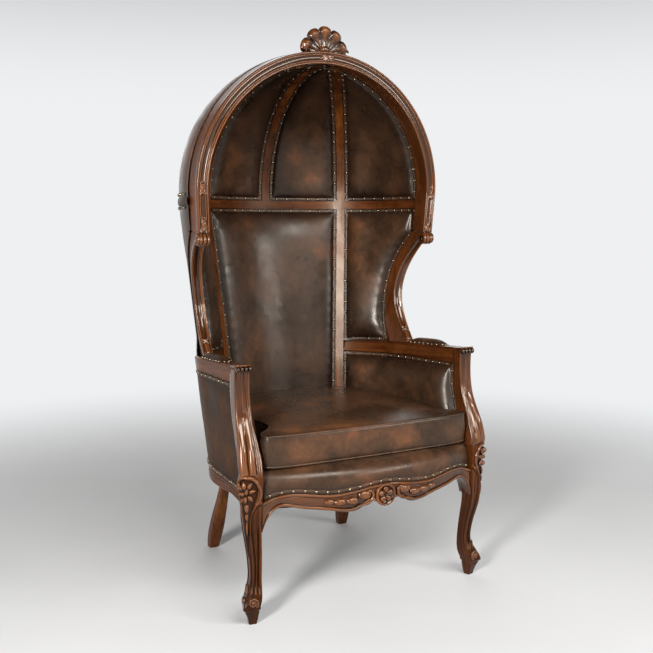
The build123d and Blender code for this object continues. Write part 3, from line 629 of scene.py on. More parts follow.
def finish_nails():
    base, faces = dome()
    verts, out = [], []
    for p, n, lift in NAILS:
        n = Vector(n)
        m = np.array(n.to_track_quat("Z", "Y").to_matrix())
        start = len(verts) * len(base)
        verts.append(base @ m.T + np.array(p) + np.array(n) * lift)
        out += [tuple(start + i for i in f) for f in faces]
    ob = new_mesh("upholstery_nails", np.vstack(verts), out, material=NAIL)
    place(ob)
    verts, out, start = [], [], 0
    for q, rows, cols in GIMPS:
        verts.append(q)
        out += grid_faces(rows, cols, wrap_cols=True, start=start)
        start += len(q)
    ob = new_mesh("leather_gimp", np.vstack(verts), out, attrs={"edge": np.ones(start)}, material=GIMP)
    face_out(ob)
    place(ob)


# Paths on the body
def rib_ray(offset, straight=False):
    """Start and direction in plan of an edge beside a rib."""
    if straight:
        return np.array((offset, RIB_FOCUS)), np.array((0.0, 1.0))
    start = np.array((offset * cos(RIB_ANGLE), RIB_FOCUS - offset * sin(RIB_ANGLE)))
    return start, np.array((sin(RIB_ANGLE), cos(RIB_ANGLE)))


def ray_reach(origin, direction, center, radius):
    """Distance along a ray in plan to a circle round a centre on the middle line."""
    oy = origin - np.array((0, center))
    along = oy @ direction
    return -along + np.sqrt(along ** 2 - oy @ oy + radius ** 2)


def rib_line(offset, low=BAND_TOP, straight=False, count=90):
    """Right-hand path up the hood beside a rib, from the band to the arch."""
    origin, direction = rib_ray(offset, straight)
    radius = HOOD_RADIUS + PANEL * HOOD_BUILD
    far = ray_reach(origin, direction, HOOD_Y, radius)
    first = origin + far * direction
    path = [(first[0], first[1], low)]
    for turn in np.linspace(0, pi / 2, count)[:-1]:
        q = origin + far * cos(turn) * direction
        rise = radius ** 2 - q[0] ** 2 - max(0, q[1] - HOOD_Y) ** 2
        z = SPRING + np.sqrt(max(0, rise))
        if q[1] > arch_back(z):
            path.append((q[0], q[1], z))
    return np.array(path)


def tub_rib_line(offset, low, high, share=PANEL, count=40):
    """Right-hand path up the body in the plane of the rib's edge."""
    origin, direction = rib_ray(offset)
    path = []
    for z in np.linspace(low, high, count):
        radius, center, _ = level(z, share)
        q = origin + ray_reach(origin, direction, center, radius) * direction
        path.append((q[0], q[1], z))
    return np.array(path)


def plan_line(z, share, to_y=None, from_point=None, to_point=None, count=80):
    """Path round the right side of the body at a height, from the middle of the back forwards."""
    radius, center, front = level(min(z, BAND_BOTTOM), share)
    pts = [(radius * sin(t), center + radius * cos(t), z) for t in np.linspace(0, pi / 2, count)]
    pts += [(mix(radius, front, k), mix(center, SIDE_FRONT, k), z) for k in np.linspace(0, 1, count)[1:]]
    pts = np.array(pts)
    if from_point is not None:
        k = np.argmin(np.linalg.norm(pts - from_point, axis=1))
        pts = pts[k:]
        pts[0] = from_point
    if to_y is not None:
        cut = pts[pts[:, 1] >= to_y]
        if len(cut) < len(pts):
            after = pts[len(cut)]
            k = (cut[-1][1] - to_y) / (cut[-1][1] - after[1])
            cut = np.vstack([cut, mix(cut[-1], after, k)])
        pts = cut
    if to_point is not None:
        k = np.argmin(np.linalg.norm(pts - to_point, axis=1))
        pts = np.vstack([pts[:k], to_point])
    return pts


def arch_path(share, low=BAND_TOP, back=0.0, count=80):
    """Right-hand path behind the arch, from a height up to the crown."""
    radius = HOOD_RADIUS + share * HOOD_BUILD
    zs = np.r_[np.linspace(low, SPRING, 6), SPRING + radius * np.sin(np.linspace(0, pi / 2, count)[1:-1])]
    return on_body(arch_back(zs) + back, zs, share)


def side_path(edge, shift, share, low=-1.0, high=9.0, count=50):
    """Path on a layer beside an edge that is given in side view."""
    pts = spline(edge, count)
    ys, zs = pts[:, 0] + shift, pts[:, 1]
    keep = (zs >= low) & (zs <= high)
    return on_body(ys[keep], zs[keep], share)


def arm_path(height, start, end, share, count=40):
    ys = np.linspace(start, end, count)
    return on_body(ys, height(ys), share)


def leg_of_arch(share, count=8):
    """Path behind the leg of the arch, from its bottom up to the band."""
    zs = np.linspace(ARCH_LEG_BOTTOM, BAND_BOTTOM, count)
    return on_body(arch_back(zs), zs, share)


# Inside panels, beside the ribs and stiles
NEAR, FAR = RIB_WIDTH / 2, -RIB_WIDTH / 2
SEAT_LINE = DECK_TOP - 0.03
WING_LOW = 0.687


def inside_panels(tag, turn):
    sign = 1 if tag == "right" else -1

    def stuffed(name, edges, puff, width, nu, nv, covered, material, seed, closed=(1, 1, 1, 1)):
        panel(f"{name}_{tag}", [turn(e) for e in edges], puff, width, nu, nv, [f"{covered}_{tag}"], material,
              seed=seed + sign, closed=closed)

    # Back gore, between the centre rib and the corner rib
    left, right = rib_line(NEAR, straight=True), rib_line(FAR)
    low = plan_line(BAND_TOP, PANEL)
    low = low[(low[:, 0] > left[0][0]) & (low[:, 0] < right[0][0])]
    low = np.vstack([left[0], low, right[0]])
    high = np.linspace(left[-1], right[-1], 6)
    stuffed("back_gore", (low, high, left, right), 0.017, 0.050, 44, 96, "hood_back_panel", LEATHER, 3.0)
    # Side gore, between the corner rib and the arch
    left, right = rib_line(NEAR), arch_path(PANEL)
    top = left[-1]
    right = np.vstack([right[right[:, 2] < top[2]], top])
    low = plan_line(BAND_TOP, PANEL, from_point=left[0], to_point=right[0])
    high = np.linspace(top, top + np.array([0.001, 0, 0]), 4)
    stuffed("side_gore", (low, high, left, right), 0.018, 0.055, 64, 100, "hood_side_panel", LEATHER, 5.0)
    # Wing
    left = tub_rib_line(NEAR, WING_LOW, BAND_BOTTOM)
    left[0][2] = arm_top(left[0][1])
    right = side_path(STILE_B, 0, PANEL, high=ARCH_LEG_BOTTOM)
    right = np.vstack([right[:-1], leg_of_arch(PANEL)])
    low = arm_path(arm_top, left[0][1], right[0][1], PANEL)
    high = plan_line(BAND_BOTTOM, PANEL, from_point=left[-1], to_point=right[-1])
    stuffed("wing_leather", (low, high, left, right), 0.026, 0.080, 56, 90, "wing_panel", LEATHER_ARM_LIT, 7.0)
    # Inside of the arm
    left = tub_rib_line(NEAR, SEAT_LINE, 0.650)
    left[-1][2] = arm_under(left[-1][1])
    right = side_path(POST_B, 0, PANEL, high=ARM_LEATHER_TOP)
    right = right[right[:, 2] > DECK_TOP - 0.01]
    low = plan_line(SEAT_LINE, PANEL, from_point=left[0], to_point=right[0])
    high = arm_path(arm_under, left[-1][1], right[-1][1], PANEL)
    stuffed("inside_arm_leather", (low, high, left, right), 0.042, 0.100, 70, 44, "inside_arm",
            LEATHER_ARM_LIT, 9.0, closed=(0, 1, 1, 1))


two(inside_panels)
right = tub_rib_line(FAR, SEAT_LINE, BAND_BOTTOM)
low = across_middle(plan_line(SEAT_LINE, PANEL, to_point=right[0]))
high = across_middle(plan_line(BAND_BOTTOM, PANEL, to_point=right[-1]))
panel("back_leather", (low, high, flipped(right), right), 0.034, 0.120, 90, 110,
      ["back_panel"], LEATHER_BACK_PANEL_SHADED, seed=1.0, closed=(0, 1, 1, 1))

# Nail rows inside
for offset, straight in ((NEAR + ROW, False), (FAR - ROW, False), (NEAR + ROW, True)):
    path = rib_line(offset, low=BAND_TOP + ROW, straight=straight)
    nailed(path[path[:, 1] > arch_back(path[:, 2]) + ROW])
nailed(arch_path(PANEL, low=BAND_TOP + ROW, back=ROW))
for z, start in ((BAND_TOP + ROW, NEAR + ROW), (BAND_BOTTOM - ROW, 0)):
    row = plan_line(min(z, BAND_BOTTOM), PANEL, to_y=arch_back(z) + 2 * ROW)
    row[:, 2] = z
    beside = row[:, 0] * cos(RIB_ANGLE) - (row[:, 1] - RIB_FOCUS) * sin(RIB_ANGLE)
    nailed(row[(beside < FAR - ROW) & (row[:, 0] > start)])
    nailed(row[beside > NEAR + ROW])
BELOW_BAND = BAND_BOTTOM - 2 * ROW
rows = ((NEAR + ROW, 0.70, BELOW_BAND), (FAR - ROW, 0.53, BELOW_BAND), (NEAR + ROW, 0.52, 0.645))
for offset, low, high in rows:
    nailed(tub_rib_line(offset, low, high))
nailed(side_path(STILE_B, ROW, PANEL, low=0.70))
end_y = tub_rib_line(NEAR + ROW, 0.69, 0.70)[0][1]
nailed(arm_path(lambda y: arm_top(y) + ROW, end_y - 2 * ROW, SEAM + 2 * ROW, PANEL))
nailed(arm_path(lambda y: arm_under(y) - ROW, end_y - 2 * ROW, POST_BACK_TOP + 2 * ROW, PANEL))
nailed(side_path(POST_B, ROW, PANEL, low=0.50, high=0.665))


# Carved bars: a front face between two edges, with a height drawn on it, and plain sides
def capsule(s, t, start, end, half):
    """Distance outside a long shape with round ends."""
    run = np.maximum(np.maximum(start + half - s, s - (end - half)), 0)
    return np.hypot(run, t) - half


def flute(s, t, start, end, half, deep=0.0050, rim=0.0018):
    """A sunk channel with rounded ends and a raised rim."""
    d = capsule(s, t, start, end, half)
    q = np.clip(-d / half, 0, 1)
    return -deep * np.sqrt(1 - (1 - q) ** 2) + rim * hill(d, 0.0020, 0.0016)


def bead(t, at, radius, rise=1.0):
    return rise * np.sqrt(np.maximum(0, radius ** 2 - (t - at) ** 2))


def groove(t, at, wide, deep):
    return -deep * hill(t, at, wide)


def cross(s, t, at, size, wide=0.0016, high=0.0020):
    """Two ridges that cross between flute ends."""
    d = abs(abs(t) - abs(s - at) * 0.8)
    near = np.clip(1 - abs(s - at) / size, 0, 1) ** 0.5
    return high * hill(d, 0, wide) * near


def edge_beads(t, w):
    """A bead and a groove along both edges, with one more groove beside the outer one."""
    far = abs(t)
    beads = bead(far, w / 2 - 0.0036, 0.0032, 0.9) + groove(far, w / 2 - 0.0082, 0.0013, 0.0016)
    return beads + groove(t, w / 2 - 0.0096, 0.0015, 0.0018)


def hollows(h, near, wide):
    """How far each place of a carved height stands above the places beside it."""
    around = [np.roll(h, k, 1) for k in (near, -near, wide, -wide)]
    return h - sum(around) / 4


SIDE_STEPS = 6


def bar(name, edges, front, height, nodes, material, cols=46, rounding=0.0035, glaze_and_shading=1.0, side=None):
    """A bar between four edges: inner and outer front, inner and outer back."""
    fi, fo, bi, bo = edges
    width = np.linalg.norm(fo - fi, axis=1)[:, None]
    t = np.linspace(-1, 1, cols)[None]
    across = t * width / 2
    s = run_length((fi + fo) / 2)[:, None]
    h = height(s, across, width) if height else np.zeros(across.shape)
    over = np.clip(abs(across) - (width / 2 - rounding), 0, rounding)
    h = h - (rounding - np.sqrt(rounding ** 2 - over ** 2))
    face = fi[:, None] + (fo - fi)[:, None] * ((t[..., None] + 1) / 2) + front[:, None] * h[..., None]
    k = np.linspace(0, 1, SIDE_STEPS + 1)[None, 1:, None]
    drop = -front * rounding * 0.9
    outer = (fo + drop)[:, None] + (bo - fo - drop)[:, None] * k
    inner = bi[:, None] + (fi + drop - bi)[:, None] * k[:, :-1]
    ring = np.concatenate([face, outer, bi[:, None], inner], 1)
    n, m = ring.shape[:2]
    v = np.pad(np.cumsum(np.linalg.norm(np.diff(ring, axis=1), axis=2), 1), ((0, 0), (1, 0)))
    uv = np.stack([np.broadcast_to(s, v.shape), v], -1).reshape(-1, 2)
    # Painted light from the carved height: ridges get a painted highlight, hollows and sunk places painted
    # shade, partly glaze
    hollow = hollows(h, 3, 5)
    hollow[:, :5] = hollow[:, -5:] = 0
    carve = np.zeros((n, m))
    carve[:, :cols] = glaze_and_shading * np.clip(hollow / 0.0011, -1, 1) * 0.75 + np.clip(h / 0.006, -1, 0.5) * 0.16
    faces = grid_faces(n, m, wrap_cols=True)
    verts = ring.reshape(-1, 3)
    for row in (0, n - 1):
        middle = len(verts)
        verts = np.vstack([verts, ring[row].mean(0)])
        uv = np.vstack([uv, uv[row * m + m // 2]])
        faces += [(middle, row * m + j, row * m + (j + 1) % m) for j in range(m)]
    ob = new_mesh(name, verts, faces, uv, {"carve": np.r_[carve.ravel(), 0, 0]}, material=material)
    if side:
        ob.data.materials.append(side)
        on_side = np.zeros(len(faces), np.int32)
        at = np.arange(m)
        on_side[:(n - 1) * m] = np.tile((at >= cols) & (at < cols + SIDE_STEPS), n - 1)
        ob.data.polygons.foreach_set("material_index", on_side)
    face_out(ob)
    place(ob, nodes=nodes)
    return ob


UP = np.array((0, -sin(ARCH_LEAN), cos(ARCH_LEAN)))
OUT = np.array((0, -cos(ARCH_LEAN), -sin(ARCH_LEAN)))
ARCH_AT = np.array((0, ARCH_FRONT, SPRING))
LEG_DROP = (SPRING - ARCH_LEG_BOTTOM) / cos(ARCH_LEAN)
LEG_IN = level(ARCH_LEG_BOTTOM, 0)[0]
LEG_OUT = level(ARCH_LEG_BOTTOM, ARCH_SHARE)[0]
ARCH_MID = HOOD_RADIUS + ARCH_FACE / 2


def arch_height(s, t, w):
    crown = LEG_DROP + ARCH_MID * pi / 2
    h = edge_beads(t, w)
    h = h + flute(s, t, LEG_DROP + 0.014, crown - 0.017, 0.0078, 0.0058)
    h = h + flute(s, t, 0.036, LEG_DROP - 0.014, 0.0070, 0.0052)
    h = h + cross(s, t, LEG_DROP, 0.017) + cross(s, t, crown, 0.020)
    for k in range(3):
        h = h + 0.0036 * hill(s, 0.012 + 0.008 * k, 0.0045) * hill(t, (k - 1) * 0.0055, 0.0042)
    return h


def make_arch(tag, turn):
    quarter, leg = np.linspace(0, pi / 2, 250), np.linspace(-LEG_DROP, 0, 56)[:-1]
    q = np.r_[leg, quarter * 0]
    angle = np.r_[leg * 0, quarter]
    k = np.clip(-q / LEG_DROP, 0, 1)
    front = []
    for radius, foot in ((HOOD_RADIUS, LEG_IN), (HOOD_RADIUS + ARCH_FACE, LEG_OUT)):
        r = mix(radius, foot, k)
        sideways = (r * np.cos(angle))[:, None] * np.array((1, 0, 0))
        front.append(ARCH_AT + sideways + (r * np.sin(angle) + q)[:, None] * UP)
    edges = [turn(e) for e in front + [e - OUT * ARCH_DEPTH for e in front]]
    facing = np.broadcast_to(OUT, front[0].shape)
    bar(f"carved_arch_{tag}", edges, facing, arch_height, [f"arch_{tag}"], WOOD_UV, side=WOOD_SIDE_LIT)


two(make_arch)


def stile_height(s, t, w):
    h = edge_beads(t, w)
    h = h + flute(s, t, 0.062, s.max() - 0.026, 0.0078, 0.0056)
    d = capsule(s, t, 0.008, 0.048, 0.0095)
    q = np.clip(-d / 0.0095, 0, 1)
    return h + 0.0045 * np.sqrt(1 - (1 - q) ** 2) - 0.0022 * hill(d, 0.0022, 0.0018)


def make_stile(tag, turn):
    n = 190
    f, b = spline(STILE_F, n), spline(STILE_B, n)
    tangent = unit(np.gradient(f, axis=0))
    front = np.stack([np.zeros(n), -tangent[:, 1], tangent[:, 0]], -1)
    edges = [turn(on_body(e[:, 0], e[:, 1], share)) for e in (f, b) for share in (0.0, ARCH_SHARE)]
    bar(f"carved_stile_{tag}", edges, front, stile_height, [f"wing_stile_{tag}"], WOOD_UV, side=WOOD_SIDE_LIT)


two(make_stile)


def circle(count):
    return np.linspace(0, 2 * pi, count + 1)[:-1]


def tube_skin(path, radius, side, up, cols):
    """Rings of points round a path."""
    b = circle(cols)[None, :, None]
    return path[:, None] + radius * (np.cos(b) * side[:, None] + np.sin(b) * up[:, None])


# Small carved forms, gathered into one mesh
# Each vertex's carve value is painted light: above zero a painted highlight, below zero painted shade
class Carving:
    def __init__(self):
        self.verts, self.faces, self.uv, self.carve, self.count = [], [], [], [], 0

    def add(self, verts, faces, carve=0.2):
        verts = np.asarray(verts, float)
        self.verts.append(verts)
        self.faces += [tuple(i + self.count for i in f) for f in faces]
        self.uv.append(verts[:, [2, 0]])
        self.carve.append(np.full(len(verts), carve) if np.isscalar(carve) else np.asarray(carve))
        self.count += len(verts)

    def blob(self, at, sizes, axes=np.eye(3), rows=10, cols=18, pinch=0.0, carve=0.35):
        """An egg shape. Axes are three directions, sizes its half lengths along them."""
        a = np.linspace(0, pi, rows)[:, None]
        b = circle(cols)[None]
        x = np.sin(a) * np.cos(b)
        y = np.sin(a) * np.sin(b)
        z = np.cos(a) * np.ones(b.shape)
        thin = 1 - pinch * (z + 1) / 2
        p = np.stack([x * thin * sizes[0], y * thin * sizes[1], z * sizes[2]], -1) @ np.array(axes, float)
        # Painted light: lighter towards the second axis, mostly the side facing out, darker on the other side
        c = np.clip(y * 1.3 - 0.45, -1, 1) * carve * 1.6
        self.add(p.reshape(-1, 3) + at, grid_faces(rows, cols, wrap_cols=True), c.ravel())

    def tube(self, path, radius, cols=10, flat=(0.0, -1.0, 0.0)):
        """A rounded ridge along a path. Radius may vary along it."""
        path = np.asarray(path, float)
        radius = np.broadcast_to(radius, len(path))
        along = unit(np.gradient(path, axis=0))
        side = unit(np.cross(np.broadcast_to(flat, path.shape), along))
        up = unit(np.cross(along, side))
        p = tube_skin(path, radius[:, None, None], side, up, cols)
        # Painted light: the side of the ridge towards flat, the front by default, is lighter, its other side
        # darker
        c = np.broadcast_to(np.clip(np.sin(circle(cols)) - 0.2, -1, 1) * 0.6, p.shape[:2])
        first, last = self.count, self.count + (len(path) - 1) * cols
        self.add(p.reshape(-1, 3), grid_faces(len(path), cols, wrap_cols=True), c.ravel())
        self.faces.append(tuple(first + i for i in range(cols)))
        self.faces.append(tuple(last + i for i in range(cols))[::-1])

    def make(self, name, turn, nodes=()):
        ob = new_mesh(name, turn(np.vstack(self.verts)), self.faces, np.vstack(self.uv),
                      {"carve": np.concatenate(self.carve)}, material=WOOD_UV)
        face_out(ob)
        place(ob, nodes=nodes)


def lathe_x(profile, center, cols=40):
    """A form turned about a crosswise axis."""
    b = circle(cols)
    x = np.broadcast_to(profile[:, :1], (len(profile), cols))
    p = np.stack([x, profile[:, 1:] * np.cos(b), profile[:, 1:] * np.sin(b)], -1)
    return p.reshape(-1, 3) + center, grid_faces(len(profile), cols, wrap_cols=True)


VOLUTE_AT = np.array(((LEG_IN + LEG_OUT) / 2, STILE_FRONT_TOP + 0.009, ARCH_LEG_BOTTOM - 0.023))
VOLUTE_HALF, LOBE_WIDTH = 0.0188, 0.01253


def make_volute(tag, turn):
    c = Carving()
    xs = np.linspace(-VOLUTE_HALF, VOLUTE_HALF, 61)
    local = (xs + VOLUTE_HALF) % LOBE_WIDTH / LOBE_WIDTH * 2 - 1
    r = 0.0125 + 0.0072 * arc(local)
    r = r * np.sqrt(np.clip(1 - (abs(xs) / 0.0205) ** 6, 0.05, 1))
    verts, faces = lathe_x(np.stack([xs, r], -1), VOLUTE_AT)
    # Painted light: the crests of the lobes lighter, the grooves between them darker
    c.add(verts, faces, np.repeat(np.clip((r - 0.0165) / 0.004, -1, 1) * 0.7, 40))
    turns = np.linspace(0, 2.2 * 2 * pi, 60)
    rad = 0.0035 + 0.0135 * turns / turns.max()
    spiral = np.stack([np.full(60, VOLUTE_HALF), -rad * np.cos(turns + 0.6), rad * np.sin(turns + 0.6)], -1)
    c.tube(spiral + VOLUTE_AT, np.linspace(0.0016, 0.0028, 60), flat=(1, 0, 0))
    c.blob(VOLUTE_AT + (0.018, 0, 0), (0.004, 0.004, 0.004))
    # Leaf that grows up out of the volute
    for k in (-1, 0, 1):
        at = VOLUTE_AT + (k * 0.0085, -0.006 - 0.002 * (k == 0), 0.026 + 0.004 * (k == 0))
        c.blob(at, (0.0048, 0.0055, 0.0135), pinch=0.5)
    c.make(f"gadrooned_volute_{tag}", turn, [f"volute_{tag}"])


two(make_volute)


def make_finial():
    """A shell of five lobes with two scrolls at its foot."""
    base_z = SPRING + HOOD_RADIUS + ARCH_FACE - 0.003
    y0 = arch_back(base_z) - ARCH_BACK + ARCH_DEPTH / 2
    lobes, rows, cols = 5, 34, 181
    a = np.linspace(0, pi, cols)[None]
    k = np.linspace(0, 1, rows)[:, None]
    local = (a / pi * lobes) % 1 * 2 - 1
    local[..., -1] = 1
    bump = arc(local)
    reach = 1 / np.sqrt((np.cos(a) / 0.083) ** 2 + (np.sin(a) / 0.0805) ** 2)
    reach = reach * (0.85 + 0.15 * bump)
    ball = hill(k, 0.82, 0.13) * bump
    rib = np.clip(1 - abs(local) / 0.55, 0, 1) ** 0.7
    fine = 0.5 + 0.5 * np.cos(local * pi * 3)
    thick = 0.0050 + 0.0105 * ball + 0.0042 * rib * k * (1 - ball)
    thick = thick + 0.0013 * fine * (1 - k) * k * 4 - 0.0030 * (1 - bump) * k
    thick = thick * np.sqrt(np.clip(1 - k ** 9, 0, 1)) + 0.0008
    thick = thick + 0.0065 * hill(k, 0, 0.18)
    x = reach * k * np.cos(a)
    z = base_z + reach * k * np.sin(a)
    lean = 0.010 * k ** 2 * np.sin(a)
    verts = [np.stack([x, y0 - lean + sign * thick, z], -1).reshape(-1, 3) for sign in (-1, 1)]
    # Painted light: the balls and ribs lighter as painted highlight, the places between the lobes and a band
    # across the middle darker as painted shade
    shade = ball * 1.1 + rib * 0.5 - 0.85 + (bump - 0.9) * 1.7 - 0.6 * hill(k, 0.45, 0.2) * (1 - rib)
    shade = (np.clip(shade, -1, 0.5) * np.ones(k.shape)).ravel()
    faces = grid_faces(rows, cols) + grid_faces(rows, cols, flip=True, start=rows * cols)
    n = rows * cols
    for j in range(n - cols, n - 1):
        faces.append((j, j + 1, j + 1 + n, j + n))
    c = Carving()
    c.add(np.vstack(verts), faces, np.r_[shade, shade])
    c.blob(np.array((0, y0 - 0.012, base_z + 0.010)), (0.016, 0.012, 0.012))
    t, rad = np.linspace(0, 1.35 * pi, 30), np.linspace(0.0115, 0.004, 30)
    for side in (-1, 1):
        across, up = side * (0.069 + rad * np.cos(t)), base_z + 0.0075 + rad * np.sin(t)
        c.tube(np.stack([across, np.full(30, y0 - 0.010), up], -1), np.linspace(0.0036, 0.0024, 30))
    c.make("carved_finial", lambda p: p, ["finial_shell"])


make_finial()

POST_TWIST, POST_X = radians(20), 0.3785
POST_SWELL = ((0, 0), (0.012, 0.50), (0.05, 0.92), (0.13, 1), (0.22, 0.95), (0.32, 0.66), (0.42, 0.34),
              (0.54, 0.02), (0.66, -0.26), (0.80, -0.55), (0.90, -0.95), (0.955, -0.85), (0.975, 0), (1, 0))
POST_HALF = ((0, 0.0315), (0.07, 0.0335), (0.18, 0.0325), (0.32, 0.0280), (0.5, 0.0240), (0.75, 0.0225),
             (1, 0.0225))


def post_height(s, t, w):
    """Two flutes at the top, which turn into two bulbs at the foot, with beads on the inner side."""
    k = s / s.max()
    low = fall(k, 0.62, 0.5)
    tau = t / (w / 2)
    amp = np.interp(k, *np.transpose(POST_SWELL))
    h = 0.0
    bulbs = (mix(0.50, 0.58, low), mix(0.41, 0.39, low)), (mix(-0.38, -0.13, low), mix(0.38, 0.31, low))
    for center, half in bulbs:
        q = np.clip(abs(tau - center) / half, 0, 1)
        h = h + np.where(amp > 0, 0.0110, 0.0070) * amp * np.sqrt(1 - q ** 2)
    fade = climb(k, 0, 0.04) * fall(k, 0.985, 0.02) * fall(k, 0.86, 0.2)
    for at, half, high in ((-0.56, 0.085, 0.0022), (-0.745, 0.085, 0.0028), (-0.92, 0.075, 0.0018)):
        h = h + fade * high * arc(tau, at, half)
    h = h - fade * 0.0022 * hill(tau, -0.455, 0.04)
    return h - 0.0030 * fall(k, 0.46, 0.1) * climb(k, 0, 0.05) * hill(tau, 0.185, 0.04)


def make_post(tag, turn):
    n = 150
    f, b = spline(POST_F, n), spline(POST_B, n)
    tangent = unit(np.gradient(f, axis=0))
    k = np.linspace(0, 1, n)
    twist = POST_TWIST * fall(k, 0.62, 0.5)
    half = spline(POST_HALF, 200)
    half = np.interp(k, half[:, 0], half[:, 1])
    center_x, center_y = POST_X - 0.0025 * fall(k, 0.45, 0.3), (f[:, 0] + b[:, 0]) / 2

    def corner(x, y, z):
        y = y - center_y
        return np.stack([center_x + x * np.cos(twist) - y * np.sin(twist),
                         center_y + x * np.sin(twist) + y * np.cos(twist), z], -1)

    front = np.stack([-tangent[:, 1] * -np.sin(twist), -tangent[:, 1] * np.cos(twist), tangent[:, 0]], -1)
    edges = [turn(corner(side * half, e[:, 0], e[:, 1])) for e in (f, b) for side in (-1, 1)]
    bar(f"carved_post_{tag}", edges, turn(front), post_height, [f"arm_post_{tag}"], WOOD_UV,
        cols=80, rounding=0.005, glaze_and_shading=0.55)
    # Beaded cap on the post
    c = Carving()
    top = POST_F[-1]
    for i in range(4):
        at = np.array((0.3602 + i * 0.0119, top[0] - 0.0050, top[1] - 0.0088))
        c.blob(at, (0.0062, 0.0098, 0.0090), carve=0.75)
    for half_width, back, z, radius in ((0.023, 0.002, 0.0005, 0.0026), (0.0215, 0.001, -0.0155, 0.0018)):
        sides = ((-half_width, back), (0, back + 0.001), (half_width, back))
        c.tube([(0.378 + x, top[0] - y, top[1] + z) for x, y in sides], radius)
    c.make(f"post_cap_{tag}", turn)


two(make_post)
RAIL_END_IN, RAIL_END_OUT = 0.3545, 0.4015


def make_arm_rail(tag, turn):
    end = tub_rib_line(NEAR, 0.69, 0.70, share=0)[0][1]
    ys = np.linspace(POST_F[-1][0] - 0.001, end, 90)
    out = np.interp(ys, [-0.25, 0.078, 0.082], [1, 1, 0.3])
    top = arm_top(ys)
    low = np.where(ys < POST_BACK_TOP, top - 0.010, arm_under(ys))
    first = fall(ys, POST_BACK_TOP + 0.01, 0.03)
    edges = []
    for z in (top, low):
        for share, end_x in ((0.0, RAIL_END_IN), (out, RAIL_END_OUT)):
            edges.append(turn(np.stack([mix(body_x(ys, z, share), end_x, first), ys, z], -1)))
    front = np.broadcast_to(np.array((0, 0, 1.0)), edges[0].shape)
    bar(f"shaped_arm_rail_{tag}", edges, front, None, [f"arm_rail_{tag}"], WOOD_SIDE_LIT, cols=24, rounding=0.006)


two(make_arm_rail)
PAD_FRONT, PAD_BACK, PAD_EDGE, PAD_WIDTH = -0.182, -0.006, 0.08, 0.042


def make_arm_pad(tag, turn):
    nu, nv = 30, 60
    ys = np.linspace(PAD_FRONT, PAD_BACK, nv)[None] * np.ones((nu, 1))
    share = np.linspace(PAD_EDGE, 1 - PAD_EDGE, nu)[:, None] * np.ones((1, nv))
    p = on_body(ys, arm_top(ys), share)
    across = (share - PAD_EDGE) * 0.05
    d = np.minimum(across, PAD_WIDTH - across)
    along = np.minimum(ys - PAD_FRONT, PAD_BACK - ys)
    h = 0.017 * roll(np.maximum(0, d - 0.003), 0.018) * roll(np.maximum(0, along - 0.004), 0.055)
    h = h + 0.0006 * ripple(p, 45.0, 2.0) * climb(d, 0, 0.01)
    p[..., 2] += h + 0.001
    index, faces = rim_index(nu, nv), grid_faces(nu, nv)
    verts = skirt(turn(p.reshape(-1, 3)), faces, index, (0, 0, 0.003))
    # Mask for painted shade, low near the pad's edges
    edge = np.r_[climb(np.minimum(d, along).ravel(), 0, 0.02), np.zeros(len(index))]
    ob = new_mesh(f"arm_pad_leather_{tag}", verts, faces, attrs={"edge": edge}, material=LEATHER_OUT)
    face_out(ob)
    place(ob, nodes=[f"arm_pad_{tag}"])


def nail_pads():
    """Nails round the arm pads, first along their sides and then across their ends."""
    rows = [(np.linspace(-0.176, -0.012, 12), s, 0.023) for s in (0.10, 0.90)]
    rows += [(y, np.linspace(0.2, 0.8, 6), 0.016) for y in (-0.180, -0.008)]
    for y, share, pitch in rows:
        y, share = np.broadcast_arrays(y, share)
        path = on_body(y, arm_top(y), share)
        path[:, 2] += 0.0006
        stud(path, np.broadcast_to((0, 0, 1.0), path.shape), lift=0.002, pitch=pitch)


two(make_arm_pad)
nail_pads()

# Outside leather
STILE_CURVE = spline(STILE_B, 60)


def outer_share(p):
    """Layer under the outer leather, which draws in towards the stiles."""
    y, z = p[..., 1], p[..., 2]
    edge_y = np.where(z > ARCH_LEG_BOTTOM, arch_back(z), np.interp(z, STILE_CURVE[:, 1], STILE_CURVE[:, 0]))
    return 1 - 0.26 * (1 - climb(y, edge_y, 0.46)) * climb(z, 0.66, 0.09) - OUTER_SINK


def face_side(ob):
    """Turns the faces of an open panel away from the middle of the body."""
    mesh = ob.data
    flip = [p for p in mesh.polygons if Vector((p.center.x, p.center.y, 0)).dot(p.normal) < 0]
    if len(flip) > len(mesh.polygons) / 2:
        mesh.flip_normals()


def outer_panel(name, edges, nu, nv, nodes, material, closed=(1, 1, 1, 1), free=0.0, seed=1.0):
    """Outer leather. Its left and right edges are free below a height."""
    p = patch(edges, nu, nv)
    share = outer_share(p)
    p = settle(p, share)
    su, sv = girths(p)
    h = np.full(su.shape, 0.0015)
    near = np.full(su.shape, 1.0)
    for k, (d, on) in enumerate(zip((sv, sv[:, -1:] - sv, su, su[-1:] - su), closed)):
        if not on:
            continue
        if k > 1:
            d = np.where(p[..., 2] < free, 1.0, d)
        h = h * roll(np.maximum(0, d - 0.010), 0.03)
        near = np.minimum(near, d)
    h = h + climb(near, 0.01, 0.06) * (0.0018 * ripple(p, 8.0, seed) + 0.0006 * ripple(p, 30.0, seed + 2))
    q = p + normal(p, share) * h[..., None]
    # Mask for painted shade, low near the panel's edges
    edge = climb(near, 0.006, 0.05).ravel()
    uv = np.stack([su, sv], -1).reshape(-1, 2)
    ob = new_mesh(name, q.reshape(-1, 3), grid_faces(nu, nv), uv, {"edge": edge}, material=material)
    place(ob, nodes=nodes)
    return ob


def upright(y, high, count=20):
    """Path up the outer layer at a depth, from the rail to a height."""
    return on_body(y, np.linspace(RAIL_TOP, high, count), 1.0)


